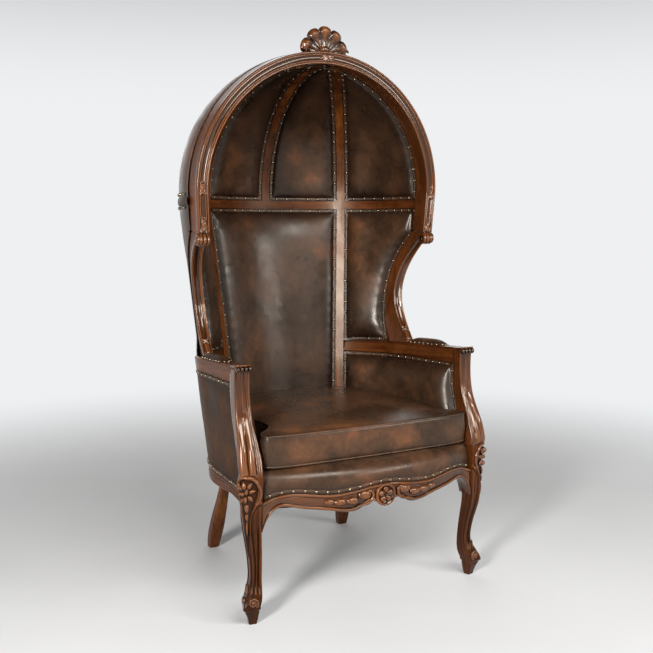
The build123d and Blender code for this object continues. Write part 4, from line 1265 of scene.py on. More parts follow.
def make_outer_back():
    crown_z = SPRING + HOOD_RADIUS + HOOD_BUILD
    crown = np.array((0, arch_back(crown_z), crown_z))
    right = np.vstack([arch_path(1.0), crown])
    low = plan_line(BAND_TOP, 1.0, to_y=right[0][1])
    low[:, 2] = BAND_TOP
    high = np.linspace(crown - (0.0005, 0, 0), crown + (0.0005, 0, 0), 5)
    outer_panel("outer_hood_leather", (across_middle(low), high, flipped(right), right), 110, 80,
                ["outer_hood_cover"], LEATHER_BACK, closed=(1, 0, 1, 1), seed=2.0)
    right = np.vstack([upright(SEAM, arm_top(SEAM))[:-1], side_path(STILE_B, 0, 1.0), leg_of_arch(1.0)[1:]])
    low = across_middle(plan_line(RAIL_TOP, 1.0, to_y=SEAM))
    high = across_middle(plan_line(BAND_BOTTOM, 1.0, to_y=right[-1][1]))
    outer_panel("outer_back_leather", (low, high, flipped(right), right), 130, 110,
                ["outer_back_cover"], LEATHER_BACK, free=0.67, seed=4.0)


def make_outer_arm(tag, turn):
    post = side_path(POST_B, 0, 1.0)
    post = post[(post[:, 2] > RAIL_TOP) & (post[:, 2] < ARM_LEATHER_TOP)]
    foot = on_body(SIDE_FRONT, RAIL_TOP, 1.0)
    front = np.vstack([foot, post, on_body(ARM_LEATHER_FRONT, arm_under(ARM_LEATHER_FRONT), 1.0)])
    back = upright(SEAM, arm_under(SEAM))
    low = arm_path(lambda y: np.full(y.shape, RAIL_TOP), SEAM, SIDE_FRONT, 1.0)
    high = arm_path(arm_under, SEAM, ARM_LEATHER_FRONT, 1.0)
    edges = [turn(e) for e in (low, high, back, front)]
    face_side(outer_panel(f"outer_arm_leather_{tag}", edges, 60, 50, [f"outer_arm_{tag}"], LEATHER_OUT,
                          closed=(1, 1, 0, 1), seed=6.0))


make_outer_back()
two(make_outer_arm)
for name in ("outer_hood_leather", "outer_back_leather"):
    face_side(bpy.data.objects[name])


def nail_outside(path, pitch=NAIL_PITCH):
    """Gimp along a path on the outer leather, with nails unless their pitch is 0."""
    path = even(path, max(12, int(run_length(path)[-1] / 0.008)))
    share = outer_share(path)
    path = settle(path, share)
    n = normal(path, share)
    if pitch:
        stud(path, n, lift=0.0024, pitch=pitch)
    strip(path, n)


nail_outside(arch_path(1.0, low=BAND_TOP + ROW, back=ROW), pitch=0)
nail_outside(side_path(STILE_B, ROW, 1.0, low=0.70), pitch=0)
for z in (BAND_TOP + ROW, BAND_BOTTOM - ROW):
    row = plan_line(z, 1.0, to_y=arch_back(z) + 3 * ROW)
    row[:, 2] = z
    nail_outside(row)
nail_outside(plan_line(RAIL_TOP + ROW, 1.0, to_y=SIDE_FRONT + 2 * ROW), pitch=0.0175)
nail_outside(arm_path(lambda y: arm_under(y) - ROW, SEAM, POST_BACK_TOP + ROW, 1.0))
nail_outside(side_path(POST_B, ROW, 1.0, low=RAIL_TOP + 2 * ROW, high=0.665), pitch=0.0125)


# Front seat rail: bowed in plan, serpentine along both edges, beaded, with leaf husks and a rosette
KNEE_X, KNEE_Y, KNEE_SIZE = 0.376, -0.342, 0.048
RAIL_HALF = KNEE_X - KNEE_SIZE / 2
RAIL_BOW, RAIL_FRONT, RAIL_DEPTH = 0.885, -0.429, 0.045
RAIL_CENTER = RAIL_FRONT + RAIL_BOW
RAIL_X_SHARES = np.array((0, 0.14, 0.24, 0.34, 0.46, 0.58, 0.72, 0.86, 1))
RAIL_TOP_EDGE = 0.374 - 0.024 * np.array((0, 0.2, 0.42, 0.58, 0.67, 0.5, 0.25, 0.33, 1))
RAIL_LOW_EDGE = 0.303 + 0.029 * np.array((0.1, 0.72, 0.12, 0, 0.25, 0.5, 0.76, 1, 0.1))
TOP_CURVE = spline(np.stack([RAIL_X_SHARES * RAIL_HALF, RAIL_TOP_EDGE], -1), 120)
LOW_CURVE = spline(np.stack([RAIL_X_SHARES * RAIL_HALF, RAIL_LOW_EDGE], -1), 120)
BRACKET = spline([(0.303, 0.3315), (0.318, 0.3255), (0.331, 0.3135), (0.342, 0.2975), (0.3495, 0.2790),
                  (0.3545, 0.2620)], 60)


def rail_top(x):
    return np.interp(abs(x), TOP_CURVE[:, 0], TOP_CURVE[:, 1])


def rail_low(x):
    low = np.interp(abs(x), LOW_CURVE[:, 0], LOW_CURVE[:, 1])
    bracket = np.interp(abs(x), BRACKET[:, 0], BRACKET[:, 1])
    return np.where(abs(x) > BRACKET[0, 0], bracket, low)


def bow(x, radius=RAIL_BOW):
    """The bowed front in plan, at a radius about the rail's centre."""
    return RAIL_CENTER - np.sqrt(radius ** 2 - x ** 2)


def rail_front(x):
    """Front of the rail, drawn forward into the knees at its ends."""
    k = np.clip((abs(x) - RAIL_HALF + 0.045) / 0.045, 0, 1)
    return bow(x) - 0.0085 * k * k * (3 - 2 * k)


def on_rail(x, z, out=0.0):
    """A point in front of the rail."""
    n = unit(np.stack([x, rail_front(x) - RAIL_CENTER], -1))
    return np.stack([x + n[..., 0] * out, rail_front(x) + n[..., 1] * out, z * np.ones(np.shape(x))], -1)


def rail_height(s, t, w):
    top, low = w / 2 - t, w / 2 + t
    h = 0.0024 * arc(top, 0.0045, 0.0040) + 0.0030 * arc(low, 0.0050, 0.0044)
    h = h - 0.0014 * hill(top, 0.0098, 0.0014) - 0.0020 * hill(low, 0.0108, 0.0015)
    return h - 0.0014 * climb(np.minimum(top, low), 0.009, 0.005)


ROSETTE_Z, ROSETTE_COLS = 0.3395, 48
# Profile of the rosette: how far it stands out, and its radius
ROSETTE = np.array([(0.0006, 0.0), (0.0016, 0.012), (0.0006, 0.021), (0.0030, 0.0245), (0.0072, 0.0275),
                    (0.0078, 0.030), (0.0058, 0.0325), (0.0, 0.0335)])
# Husks beside it: place, half length, half height and rise
HUSKS = ((0.068, 0.0215, 0.0165, 0.0135), (0.105, 0.0205, 0.0140, 0.0125),
         (0.141, 0.0190, 0.0122, 0.0110), (0.172, 0.0160, 0.0100, 0.0090))


def make_front_rail():
    x = np.linspace(-RAIL_HALF - 0.002, RAIL_HALF + 0.002, 420)
    low, top = on_rail(x, rail_low(x)), on_rail(x, rail_top(x))
    back = [np.stack([x, bow(x, RAIL_BOW - RAIL_DEPTH), e[:, 2]], -1) for e in (low, top)]
    front = unit(np.stack([x, rail_front(x) - RAIL_CENTER, x * 0], -1))
    bar("carved_front_rail", [low, top] + back, front, rail_height, ["front_seat_rail"], WOOD_UV,
        cols=64, rounding=0.0025)
    c = Carving()
    # Rosette
    b = circle(ROSETTE_COLS)
    flat = np.broadcast_to(-ROSETTE[:, :1], (len(ROSETTE), ROSETTE_COLS))
    ring = np.stack([ROSETTE[:, 1:] * np.cos(b), flat, ROSETTE[:, 1:] * np.sin(b)], -1)
    # Painted light: the rosette's raised ring lighter, its hollow and edges darker
    shade = np.repeat(np.array([-0.5, -0.5, -0.75, -0.7, 0.3, 0.6, 0.2, -0.3]), ROSETTE_COLS)
    at = np.array((0, RAIL_FRONT, ROSETTE_Z))
    c.add(ring.reshape(-1, 3) + at, grid_faces(len(ROSETTE), ROSETTE_COLS, wrap_cols=True), shade)
    for k in range(5):
        a = radians(90 + 72 * k)
        d = np.array((cos(a), 0, sin(a)))
        e = np.array((-sin(a), 0, cos(a)))
        c.blob(at + d * 0.0142 + (0, -0.0030, 0), (0.0078, 0.0062, 0.0105), (e, (0, -1, 0), d),
               pinch=-0.25, carve=0.45)
        vein = ((0.008, -0.0088), (0.015, -0.0102), (0.022, -0.0078))
        c.tube([at + d * far + (0, y, 0) for far, y in vein], 0.0011)
    c.blob(at + (0, -0.0085, 0), (0.0045, 0.0042, 0.0045), carve=0.7)
    # Husks and scrolls at both sides
    for side in (-1, 1):
        for x, half, high, rise in HUSKS:
            mid = (rail_top(x) + rail_low(x)) / 2 + 0.002 + 0.016 * np.clip((0.09 - x) / 0.04, 0, 0.25)
            p = on_rail(np.array(side * x), mid)
            n = unit(np.array((p[0], p[1] - RAIL_CENTER, 0)))
            along = np.array((n[1], -n[0], 0)) * -side
            c.blob(p, (high, rise, half), (np.array((0, 0, 1.0)), n, along), pinch=0.30, carve=0.5)
        above = ((0.150, 0.006), (0.125, 0.007), (0.098, 0.008), (0.075, 0.008))
        low = [(x, rail_low(x) + up) for x, up in above]
        curl = [(0.056, 0.3225), (0.045, 0.333), (0.0415, 0.345), (0.046, 0.355), (0.055, 0.3575),
                (0.061, 0.352), (0.059, 0.3465)]
        path = spline(low + curl, 60)
        share = np.linspace(0, 1, 60)
        p = on_rail(side * path[:, 0], path[:, 1], 0.0020 + 0.003 * share)
        c.tube(p, np.interp(share, [0, 0.35, 0.8, 1], [0.0016, 0.0040, 0.0044, 0.0030]))
        c.blob(p[-1] + (0, -0.001, 0), (0.0055, 0.0050, 0.0055), carve=0.7)
    c.make("rail_carving", lambda p: p)


make_front_rail()

# Front legs with their knees: rounded square sections swept along the leg, turned a little outwards
LEG_HEIGHT = 0.302
LEG_Z = np.array((0, 0.06, 0.15, 0.22, 0.35, 0.5, 0.66, 0.83, 1.0, 1.15, 1.275, 1.36, 1.407)) * LEG_HEIGHT
LEG_SIZE = np.array((0.46, 0.62, 0.87, 1.0, 0.76, 0.69, 0.78, 0.91, 1.06, 1.22, 1.35, 1.37, 1.32)) * KNEE_SIZE
LEG_X = KNEE_X - 0.017 * np.array((0.12, 0.12, 0, 0.23, 0.82, 0.88, 0.59, 0.18, 0, -0.05, -0.05, 0, 0.1))
LEG_BACK = np.array((0.38, 0.33, 0.29, 0.43, 0.81, 0.71, 0.38, 0.05, 0.05, 0.1, 0.15, 0.15, 0.15))
LEG_Y = KNEE_Y + 0.021 * LEG_BACK
LEG_TURN, LEG_TOP = radians(12), 0.425
LEG_ROWS, LEG_COLS = 310, 240
TOE_SCROLL_Z, TOE_LEAF_Z = 0.0660, 0.0920
FIELD_Z = (0.180, 0.22, 0.27, 0.305, 0.330, 0.352, 0.372, 0.388, 0.401, 0.411, 0.418, 0.4225)
FIELD_WIDTH = (0.0, 0.0035, 0.0075, 0.0110, 0.0175, 0.0275, 0.0350, 0.0370, 0.0345, 0.0265, 0.0150, 0.0)


def smooth_at(z, values):
    curve = spline(np.stack([LEG_Z, values], -1), 200)
    return np.interp(z, curve[:, 0], curve[:, 1])


def leg_spin(z):
    """How far the front face turns outwards."""
    return LEG_TURN + radians(4) * climb(z, 0.30, 0.06)


def corner_power(z):
    """The outer front quarter is rounder at the knee."""
    return np.interp(z, [0, 0.05, 0.10, 0.24, 0.31, 0.36, LEG_TOP], [7, 7, 5.5, 4.5, 3.0, 2.7, 3.2])


def leg_middle(z):
    return np.array((float(smooth_at(z, LEG_X)), float(smooth_at(z, LEG_Y)), z))


def leg_half(z):
    return float(smooth_at(z, LEG_SIZE)) / 2


def leg_rings(z, half):
    """Sections of the leg, v forward and u to the outer side, with their points evened out."""
    a = circle(LEG_COLS)[None]
    power = np.where((np.sin(a) > 0) & (np.cos(a) > 0), 2 / corner_power(z), 2 / 7.0)
    u = np.sign(np.sin(a)) * abs(np.sin(a)) ** power
    v = np.sign(np.cos(a)) * abs(np.cos(a)) ** power
    ring = np.stack([u * half, v * half], -1)
    step = np.linalg.norm(np.roll(ring, -1, 1) - ring, axis=2)
    s = np.concatenate([np.zeros((len(ring), 1)), np.cumsum(step, 1)], 1)
    out = np.zeros(ring.shape)
    for i in range(len(ring)):
        at = np.linspace(0, s[i, -1], LEG_COLS + 1)[:-1]
        loop = np.vstack([ring[i], ring[i, :1]])
        for axis in (0, 1):
            out[i, :, axis] = np.interp(at, s[i], loop[:, axis])
    return out


def knee_field(uu, vv, zz, half):
    """A sunk field for the flowers, round the knee from the front to the outer side, tapering to a point."""
    angle = np.degrees(np.arctan2(uu, vv))
    middle = np.interp(zz, [0.19, 0.30, 0.37], [48.0, 38.0, 28.0])
    corner = radians(1) * (angle - middle) * half * 1.1
    inside = np.interp(zz, FIELD_Z, FIELD_WIDTH) - abs(corner)
    return inside, climb(zz, 0.18, 0.02) * (abs(angle - middle) < 80)


def make_leg_body(tag, turn):
    z = np.linspace(0, LEG_TOP, LEG_ROWS)[:, None]
    half = smooth_at(z, LEG_SIZE) / 2
    ring = leg_rings(z, half)
    tangent = unit(np.roll(ring, -1, 1) - np.roll(ring, 1, 1))
    nrm = np.stack([-tangent[..., 1], tangent[..., 0]], -1)
    nrm = np.where((nrm * ring).sum(-1, keepdims=True) < 0, -nrm, nrm)
    uu, vv = ring[..., 0], ring[..., 1]
    zz = z * np.ones(uu.shape)
    on_front = np.clip((vv - half + 0.004) / 0.003, 0, 1) * (nrm[..., 1] > 0.55)
    on_outer = (nrm[..., 0] > 0.55) * 1.0
    legs = climb(zz, 0.082, 0.02)
    inside, open_at = knee_field(uu, vv, zz, half)
    high = climb(zz, 0.33, 0.03)
    rim = mix(0.0026, 0.0016, high) * hill(inside, 0, mix(0.0022, 0.0030, high))
    h = open_at * (rim - mix(0.0028, 0.0050, high) * climb(inside, 0, 0.0040))
    # The rail's top bead sweeps round the knee and runs down the front face
    clear = on_front * legs * fall(inside, 0.001, 0.004)
    reach_u = half * 1.46
    q, w = (uu + half) / reach_u, np.maximum(zz - 0.292, 0) / 0.061
    r = (np.hypot(q, w) - 1) * np.where(zz > 0.292, np.minimum(reach_u, 0.045), reach_u)
    h = h + clear * (0.0036 * arc(r, 0, 0.0040) - 0.0026 * hill(r, -0.0062, 0.0018))
    h = h - clear * 0.0018 * np.clip((-r - 0.005) / 0.003, 0, 1) * climb(uu + half, 0.007, 0.003)
    h = h - clear * 0.0026 * hill(r, 0.0062, 0.0018)
    # The bottom bead runs down the inner corner
    d = uu + half - 0.0046
    bottom = 0.0034 * arc(d, 0, 0.0040) - 0.0024 * hill(d, 0.0060, 0.0017)
    h = h + on_front * legs * fall(zz, 0.290, 0.02) * bottom
    # Outer side: a bead along its back edge
    d = vv + half - 0.0045
    beside = 0.0024 * arc(d, 0, 0.0036) - 0.0018 * hill(d, 0.0056, 0.0015)
    h = h + on_outer * fall(zz, 0.33, 0.03) * legs * beside
    # Ledge over the foot block
    h = h + 0.0022 * hill(zz, 0.0475, 0.0026) - 0.0012 * hill(zz, 0.0415, 0.0024)
    p = ring + nrm * h[..., None]
    # Toe: the foot reaches out to its front outer corner
    toe = 0.0085 * hill(zz, 0.052, 0.017) * np.clip((uu + vv) / (2 * half), 0, 1) ** 2
    p = p + unit(ring) * toe[..., None]
    cos_s, sin_s = np.cos(leg_spin(z)), np.sin(leg_spin(z))
    x = smooth_at(z, LEG_X) + p[..., 0] * cos_s + p[..., 1] * sin_s
    y = smooth_at(z, LEG_Y) + p[..., 0] * sin_s - p[..., 1] * cos_s
    pts = np.stack([x, y, zz], -1)
    # Painted light: ridges lighter as painted highlight, weaker low on the leg; the sunk flower field darker
    # as painted shade; the leg below the knee darker as painted shade
    carve = np.clip(hollows(h, 4, 7) / 0.0012, -1, 1) * 0.6 - open_at * climb(inside, 0, 0.004) * 0.55
    carve = carve * np.where(carve > 0, 0.45 + 0.55 * climb(zz, 0.30, 0.08), 1) - 0.28 * fall(zz, 0.31, 0.06)
    uv = np.stack([zz, np.broadcast_to(np.linspace(0, 0.19, LEG_COLS), uu.shape)], -1)
    uv = np.vstack([uv.reshape(-1, 2), (0, 0), (LEG_TOP, 0)])
    verts = np.vstack([pts.reshape(-1, 3), pts[0].mean(0), pts[-1].mean(0)])
    faces = grid_faces(LEG_ROWS, LEG_COLS, wrap_cols=True)
    n, last = LEG_ROWS * LEG_COLS, (LEG_ROWS - 1) * LEG_COLS
    for j in range(LEG_COLS):
        k = (j + 1) % LEG_COLS
        faces.append((n, k, j))
        faces.append((n + 1, last + j, last + k))
    ob = new_mesh(f"carved_front_leg_{tag}", turn(verts), faces, uv, {"carve": np.r_[carve.ravel(), -0.2, 0]},
                  material=WOOD_LEG_SHADED)
    face_out(ob)
    place(ob, nodes=[f"front_leg_{tag}"])


# Each flower at the knee: its angle, height, tilt and size
PETALS = ((12, 0.402, 30, 1.0), (38, 0.403, -15, 1.05), (62, 0.396, -60, 0.9), (-2, 0.386, 80, 0.95),
          (27, 0.385, 10, 0.85), (52, 0.378, -95, 0.9), (8, 0.366, 140, 1.0), (34, 0.362, 185, 0.95),
          (58, 0.358, -140, 0.8))
# Husks below them: height, half width, half length and rise
KNEE_HUSKS = ((0.338, 0.0090, 0.0125, -0.0022), (0.313, 0.0066, 0.0110, -0.0022),
              (0.281, 0.0044, 0.0235, -0.0026))
# The scroll over the flowers: angles and heights
SCROLL = ((86, 0.384), (85, 0.400), (80, 0.4125), (68, 0.4205), (52, 0.4240), (32, 0.4245), (14, 0.4235),
          (-4, 0.4195), (-20, 0.4110), (-31, 0.3985), (-37, 0.3840), (-36, 0.3690), (-26, 0.3530),
          (-12, 0.3400), (2, 0.3270))
UPWARD = np.array((0, 0, 1.0))


def facing(turned):
    """Two level directions, outwards and across, for an angle from the front face."""
    return np.array((sin(turned), -cos(turned), 0)), np.array((cos(turned), sin(turned), 0))


def at_knee(turned, height, rise=0.0):
    """A point on the knee, by its angle from the front face towards the outer side."""
    n = float(corner_power(height))
    b = radians(turned)
    if 0 < turned < 90:
        r = leg_half(height) / (abs(sin(b)) ** n + abs(cos(b)) ** n) ** (1 / n)
    else:
        r = leg_half(height) / max(abs(cos(b)), abs(sin(b)))
    o, e = facing(b + float(leg_spin(height)))
    return leg_middle(height) + o * (r + rise), o, e


def make_knee_carving(tag, turn):
    c = Carving()
    for turned, height, tilt, size in PETALS:
        p, o, e = at_knee(turned, height, -0.0025)
        t = radians(tilt)
        long = UPWARD * cos(t) + e * sin(-t)
        sizes = (0.0074 * size, 0.0085 * size, 0.0105 * size)
        c.blob(p, sizes, (np.cross(long, o), o, long), pinch=0.35, carve=0.75)
        c.tube([p + o * 0.0068 - long * 0.006, p + o * 0.0092 * size, p + o * 0.0060 + long * 0.007], 0.0011)
    for height, w, tall, rise in KNEE_HUSKS:
        p, o, e = at_knee(float(np.interp(height, [0.28, 0.30, 0.36], [41, 38, 29])), height, rise)
        c.blob(p, (w, 0.0062, tall), (e, o, -UPWARD), pinch=0.5, carve=0.6)
    # A scroll arches over the flowers, from the outer side round to the front, and runs down to the rail
    scroll = spline([at_knee(a, h, 0.0002)[0] for a, h in SCROLL], 90)
    share = np.linspace(0, 1, 90)
    c.tube(scroll, np.interp(share, [0, 0.12, 0.6, 0.82, 1], [0.0028, 0.0046, 0.0052, 0.0044, 0.0018]))
    turns = np.linspace(0.3, 1.6 * pi, 18)
    curl = [at_knee(78 - 10 * sin(t), 0.398 + 0.0070 * cos(t), 0.0012)[0] for t in turns]
    c.tube(curl, np.linspace(0.0036, 0.0022, 18))
    # Toe scrolls on the front and the outer side, with short leaves above
    for turned, radius, hand in ((0.0, 0.0140, 1), (90.0, 0.0120, -1)):
        f, e = facing(radians(turned) + LEG_TURN)
        t = np.linspace(0, 1.75 * 2 * pi, 54)
        rad = np.linspace(radius * 0.22, radius, 54)
        face = leg_half(TOE_SCROLL_Z) + 0.0012
        p = leg_middle(TOE_SCROLL_Z) + f * face + e * (0.002 * hand)
        path = p + e * (hand * rad * np.cos(t - 0.6))[:, None] + UPWARD * (rad * np.sin(t - 0.6))[:, None]
        c.tube(path + f * 0.0016 * (1 - t[:, None] / t.max()), np.linspace(0.0020, 0.0038, 54))
        c.blob(p + f * 0.001, (radius * 0.30, 0.0036, radius * 0.30), (e, f, UPWARD), carve=0.8)
        for side, lean in ((-0.0120, 0.15), (-0.001, 0.0), (0.0110, -0.15)):
            long = unit(UPWARD + e * lean)
            q = leg_middle(TOE_LEAF_Z) + f * (leg_half(TOE_LEAF_Z) - 0.0008) + e * side
            c.blob(q, (0.0042, 0.0046, 0.0165), (np.cross(long, f), f, long), pinch=0.5, carve=0.6)
    c.make(f"knee_flowers_{tag}", turn)


def make_front_leg(tag, turn):
    make_leg_body(tag, turn)
    make_knee_carving(tag, turn)


two(make_front_leg)
BORDER_HALF = 0.3505
BORDER_KNOTS = [0, 0.12, 0.3, 0.5, 0.68, 0.84, 1]


def make_border():
    """Leather rolled over the front of the seat, nailed along the rail."""
    def curve(values):
        v = np.interp(k, BORDER_KNOTS, values)
        return np.convolve(np.pad(v[0], 3, mode="reflect", reflect_type="odd"), np.ones(7) / 7, "valid")[None]

    nu, nv = 200, 34
    x = np.linspace(-BORDER_HALF, BORDER_HALF, nu)[:, None]
    k = np.linspace(0, 1, nv)[None]
    low = rail_top(x) + 0.0005
    z = low + (DECK_TOP - low) * curve([0, 0.16, 0.42, 0.68, 0.87, 0.97, 1.0])
    r = RAIL_BOW - curve([0.0005, -0.0015, -0.0025, 0.004, 0.016, 0.031, 0.047])
    end = np.minimum(1, (BORDER_HALF - abs(x)) / 0.012)
    r = r - 0.004 * (1 - np.sqrt(np.clip(1 - (1 - end) ** 2, 0, 1)))
    p = np.stack([x * np.ones(k.shape), bow(x, r), z], -1)
    p[..., 1] -= 0.0016 * ripple(p, 11.0, 4.0) * climb(k, 0, 0.3)
    above = z - low
    pull = np.exp(-np.maximum(0, above - 0.012) / 0.010) * climb(above, 0.010, 0.005)
    p[..., 1] += 0.0010 * pull * np.cos(2 * pi * x / 0.033)
    # Mask for painted shade, low at the border's ends and along the rail
    edge = np.clip(np.minimum((BORDER_HALF - abs(x)) / 0.03, (above - 0.004) / 0.030), 0, 1)
    ob = new_mesh("front_border_leather", p.reshape(-1, 3), grid_faces(nu, nv), attrs={"edge": edge.ravel()},
                  material=LEATHER_SEAT)
    face_forward(ob)
    place(ob, nodes=["front_border"])
    xs = np.linspace(0, 0.345, 60)
    row = np.stack([xs, bow(xs) - 0.0004, rail_top(xs) + 0.0075], -1)
    n = unit(np.stack([xs, row[:, 1] - RAIL_CENTER, xs * 0], -1))
    stud(row, n, pitch=0.033)
    strip(row, n, width=0.0095)


def face_forward(ob):
    mesh = ob.data
    flip = [p for p in mesh.polygons if p.normal.y > 0.2]
    if len(flip) > len(mesh.polygons) / 3:
        mesh.flip_normals()


make_border()


# Side rails with three mouldings, scalloped towards the knee
def side_rail_height(s, t, w):
    h = 0.0
    for at in (0.0050, 0.0125, 0.0200):
        d = w / 2 + t - at
        h = h + 0.0019 * arc(d, 0, 0.0032) - 0.0010 * hill(d, 0.0040, 0.0011)
    return h


def make_side_rail(tag, turn):
    y = np.linspace(SIDE_FRONT + 0.001, 0.194, 200)
    k = (y - y[0]) / (y[-1] - y[0])
    low = RAIL_BOTTOM - 0.012 * hill(k, 0, 0.06) + 0.010 * hill(k, 0.28, 0.16) - 0.006 * hill(k, 0.9, 0.12)
    edges = []
    for share in (1.0, 0.05):
        for z, at in ((low, RAIL_BOTTOM), (np.full(y.shape, RAIL_TOP), RAIL_TOP)):
            edges.append(np.stack([body_x(y, np.full(y.shape, at), share), y, z], -1))
    front = unit(normal(edges[0], 1.0) * (1, 1, 0))
    bar(f"moulded_side_rail_{tag}", [turn(e) for e in edges], turn(front), side_rail_height,
        [f"side_rail_{tag}"], WOOD_SIDE_LIT, cols=40, rounding=0.0025)


two(make_side_rail)

# Loose seat cushion: crowned panels and a boxing strip, blown up between piped seams
CUSHION_LOW, CUSHION_HIGH = DECK_TOP + 0.0020, DECK_TOP + 0.0905
BOXING_STEPS = 7
# Half outlines in plan. Behind the ears the sides draw in to the padded arms
FRONT_EDGE = ((0, -0.3745), (0.20, -0.3700), (0.300, -0.3610), (0.3270, -0.3545))
EAR = ((0.3270, -0.3545), (0.3370, -0.3470), (0.3395, -0.3300))
RIGHT_EDGE = EAR + ((0.3310, -0.3070), (0.3130, -0.2850), (0.2960, -0.2560), (0.2880, -0.2200),
                    (0.2890, -0.1700), (0.2930, -0.1100), (0.2900, -0.0200), (0.2700, 0.0750),
                    (0.2360, 0.1450))
LEFT_EDGE = EAR + ((0.3300, -0.3070), (0.3090, -0.2870), (0.2870, -0.2620), (0.2730, -0.2300),
                   (0.2700, -0.1950), (0.2750, -0.1600), (0.2830, -0.1200), (0.2850, -0.0400),
                   (0.2680, 0.0700), (0.2360, 0.1450))
BACK_EDGE = ((0, 0.2520), (0.0900, 0.2430), (0.1700, 0.2090), (0.2360, 0.1450))


def mirrored(path):
    return [(-x, y) for x, y in path]


def cushion_edges(nu, nv):
    """Front, back, left and right edges of the cushion in plan."""
    front = spline(mirrored(FRONT_EDGE[:0:-1]) + list(FRONT_EDGE), 60)
    back = spline(mirrored(BACK_EDGE[:0:-1]) + list(BACK_EDGE), 60)
    left, right = spline(mirrored(LEFT_EDGE), 90), spline(RIGHT_EDGE, 90)
    return [np.pad(even(path, n), ((0, 0), (0, 1)))
            for path, n in ((front, nu), (back, nu), (left, nv), (right, nv))]


def far_from(points, others):
    """How far each point lies from the nearest of the others."""
    far = np.full(len(points), 1.0)
    for start in range(0, len(points), 4000):
        block = points[start:start + 4000]
        far[start:start + 4000] = np.min(np.linalg.norm(block[:, None] - others[None], axis=2), axis=1)
    return far


def make_cushion():
    nu, nv = ((58, 54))
    grid = coons(*cushion_edges(nu, nv))
    index = rim_index(nu, nv)
    rim = grid.reshape(-1, 3)[index, :2]
    dist = far_from(grid[..., :2].reshape(-1, 2), rim).reshape(nu, nv)
    top = grid + np.array((0, 0, CUSHION_HIGH))
    top[..., 2] += 0.012 * roll(dist, 0.30) + 0.0012 * ripple(top, 7.0, 3.0) * climb(dist, 0, 0.05)
    slack = 0.0035 * ripple(np.concatenate([grid[..., :2] * 0.5, grid[..., 2:]], -1), 6.0, 8.0)
    top[..., 2] += slack + 0.004 * np.clip((grid[..., 1] + 0.35) / 0.5, 0, 1)
    low = grid + np.array((0, 0, CUSHION_LOW))
    verts = [top.reshape(-1, 3), low.reshape(-1, 3)]
    under = index + nu * nv
    n = len(index)
    faces = grid_faces(nu, nv) + grid_faces(nu, nv, flip=True, start=nu * nv)
    tangent = np.roll(rim, -1, 0) - np.roll(rim, 1, 0)
    outward = unit(np.stack([tangent[:, 1], -tangent[:, 0]], -1))
    rim_top, rim_low = verts[0][index, 2:], verts[1][index, 2:]
    for k in range(1, BOXING_STEPS):
        t = k / BOXING_STEPS
        verts.append(np.hstack([rim + outward * 0.004 * sin(pi * t), mix(rim_low, rim_top, t)]))
    rows = [under] + [2 * nu * nv + n * k + np.arange(n) for k in range(BOXING_STEPS - 1)] + [index]
    for a, b in zip(rows, rows[1:]):
        for i in range(n):
            j = (i + 1) % n
            faces.append((a[i], a[j], b[j], b[i]))
    ob = new_mesh("cushion_leather", np.vstack(verts), faces, material=LEATHER_SEAT)
    face_out(ob)
    puff_cushion(ob, sorted(set(index.tolist()) | set(under.tolist())))
    mesh = ob.data
    co = np.array([v.co[:] for v in mesh.vertices])
    seams = [co[index], co[under]]
    attr = mesh.attributes.new("edge", "FLOAT", "POINT")
    # Mask for painted shade, low along the piped seams
    edge = np.clip(0.35 + far_from(co, np.vstack(seams)) / 0.03, 0, 1)
    attr.data.foreach_set("value", edge.astype(np.float32))
    place(ob, body="cushion", nodes=["seat_cushion"])
    make_piping(seams)


def make_piping(seams, cols=8):
    """Piping along both seams of the cushion."""
    c = Carving()
    for loop, shift in zip(seams, (0.0004, -0.0004)):
        closed = np.vstack([loop[-6:], loop, loop[:6]])
        path = spline(closed, 4 * len(closed))
        ends = run_length(closed)[[5, 5 + len(loop)]]
        start, stop = np.searchsorted(run_length(path), ends)
        path = path[start:stop]
        along = unit(np.roll(path, -2, 0) - np.roll(path, 2, 0))
        side = unit(np.cross(along, np.array((0, 0, 1.0))))
        q = tube_skin(path, 0.0030, side, np.cross(side, along), cols)
        q[..., 2] += shift
        rows = len(path)
        faces = []
        for i in range(rows):
            a, b = i * cols, (i + 1) % rows * cols
            for j in range(cols):
                k = (j + 1) % cols
                faces.append((a + j, a + k, b + k, b + j))
        c.add(q.reshape(-1, 3), faces, 0.0)
    ob = new_mesh("cushion_piping", np.vstack(c.verts), c.faces, attrs={"edge": np.ones(c.count)},
                  material=PIPING)
    face_out(ob)
    place(ob, body="cushion")


CLOTH = {"quality": 6, "mass": 0.4, "tension_stiffness": 30, "compression_stiffness": 30,
         "shear_stiffness": 12, "bending_stiffness": 3.0, "vertex_group_mass": "seams",
         "use_pressure": True, "uniform_pressure_force": 4.0}
CLOTH_FRAMES, MOST_MOVE = 20, 0.016


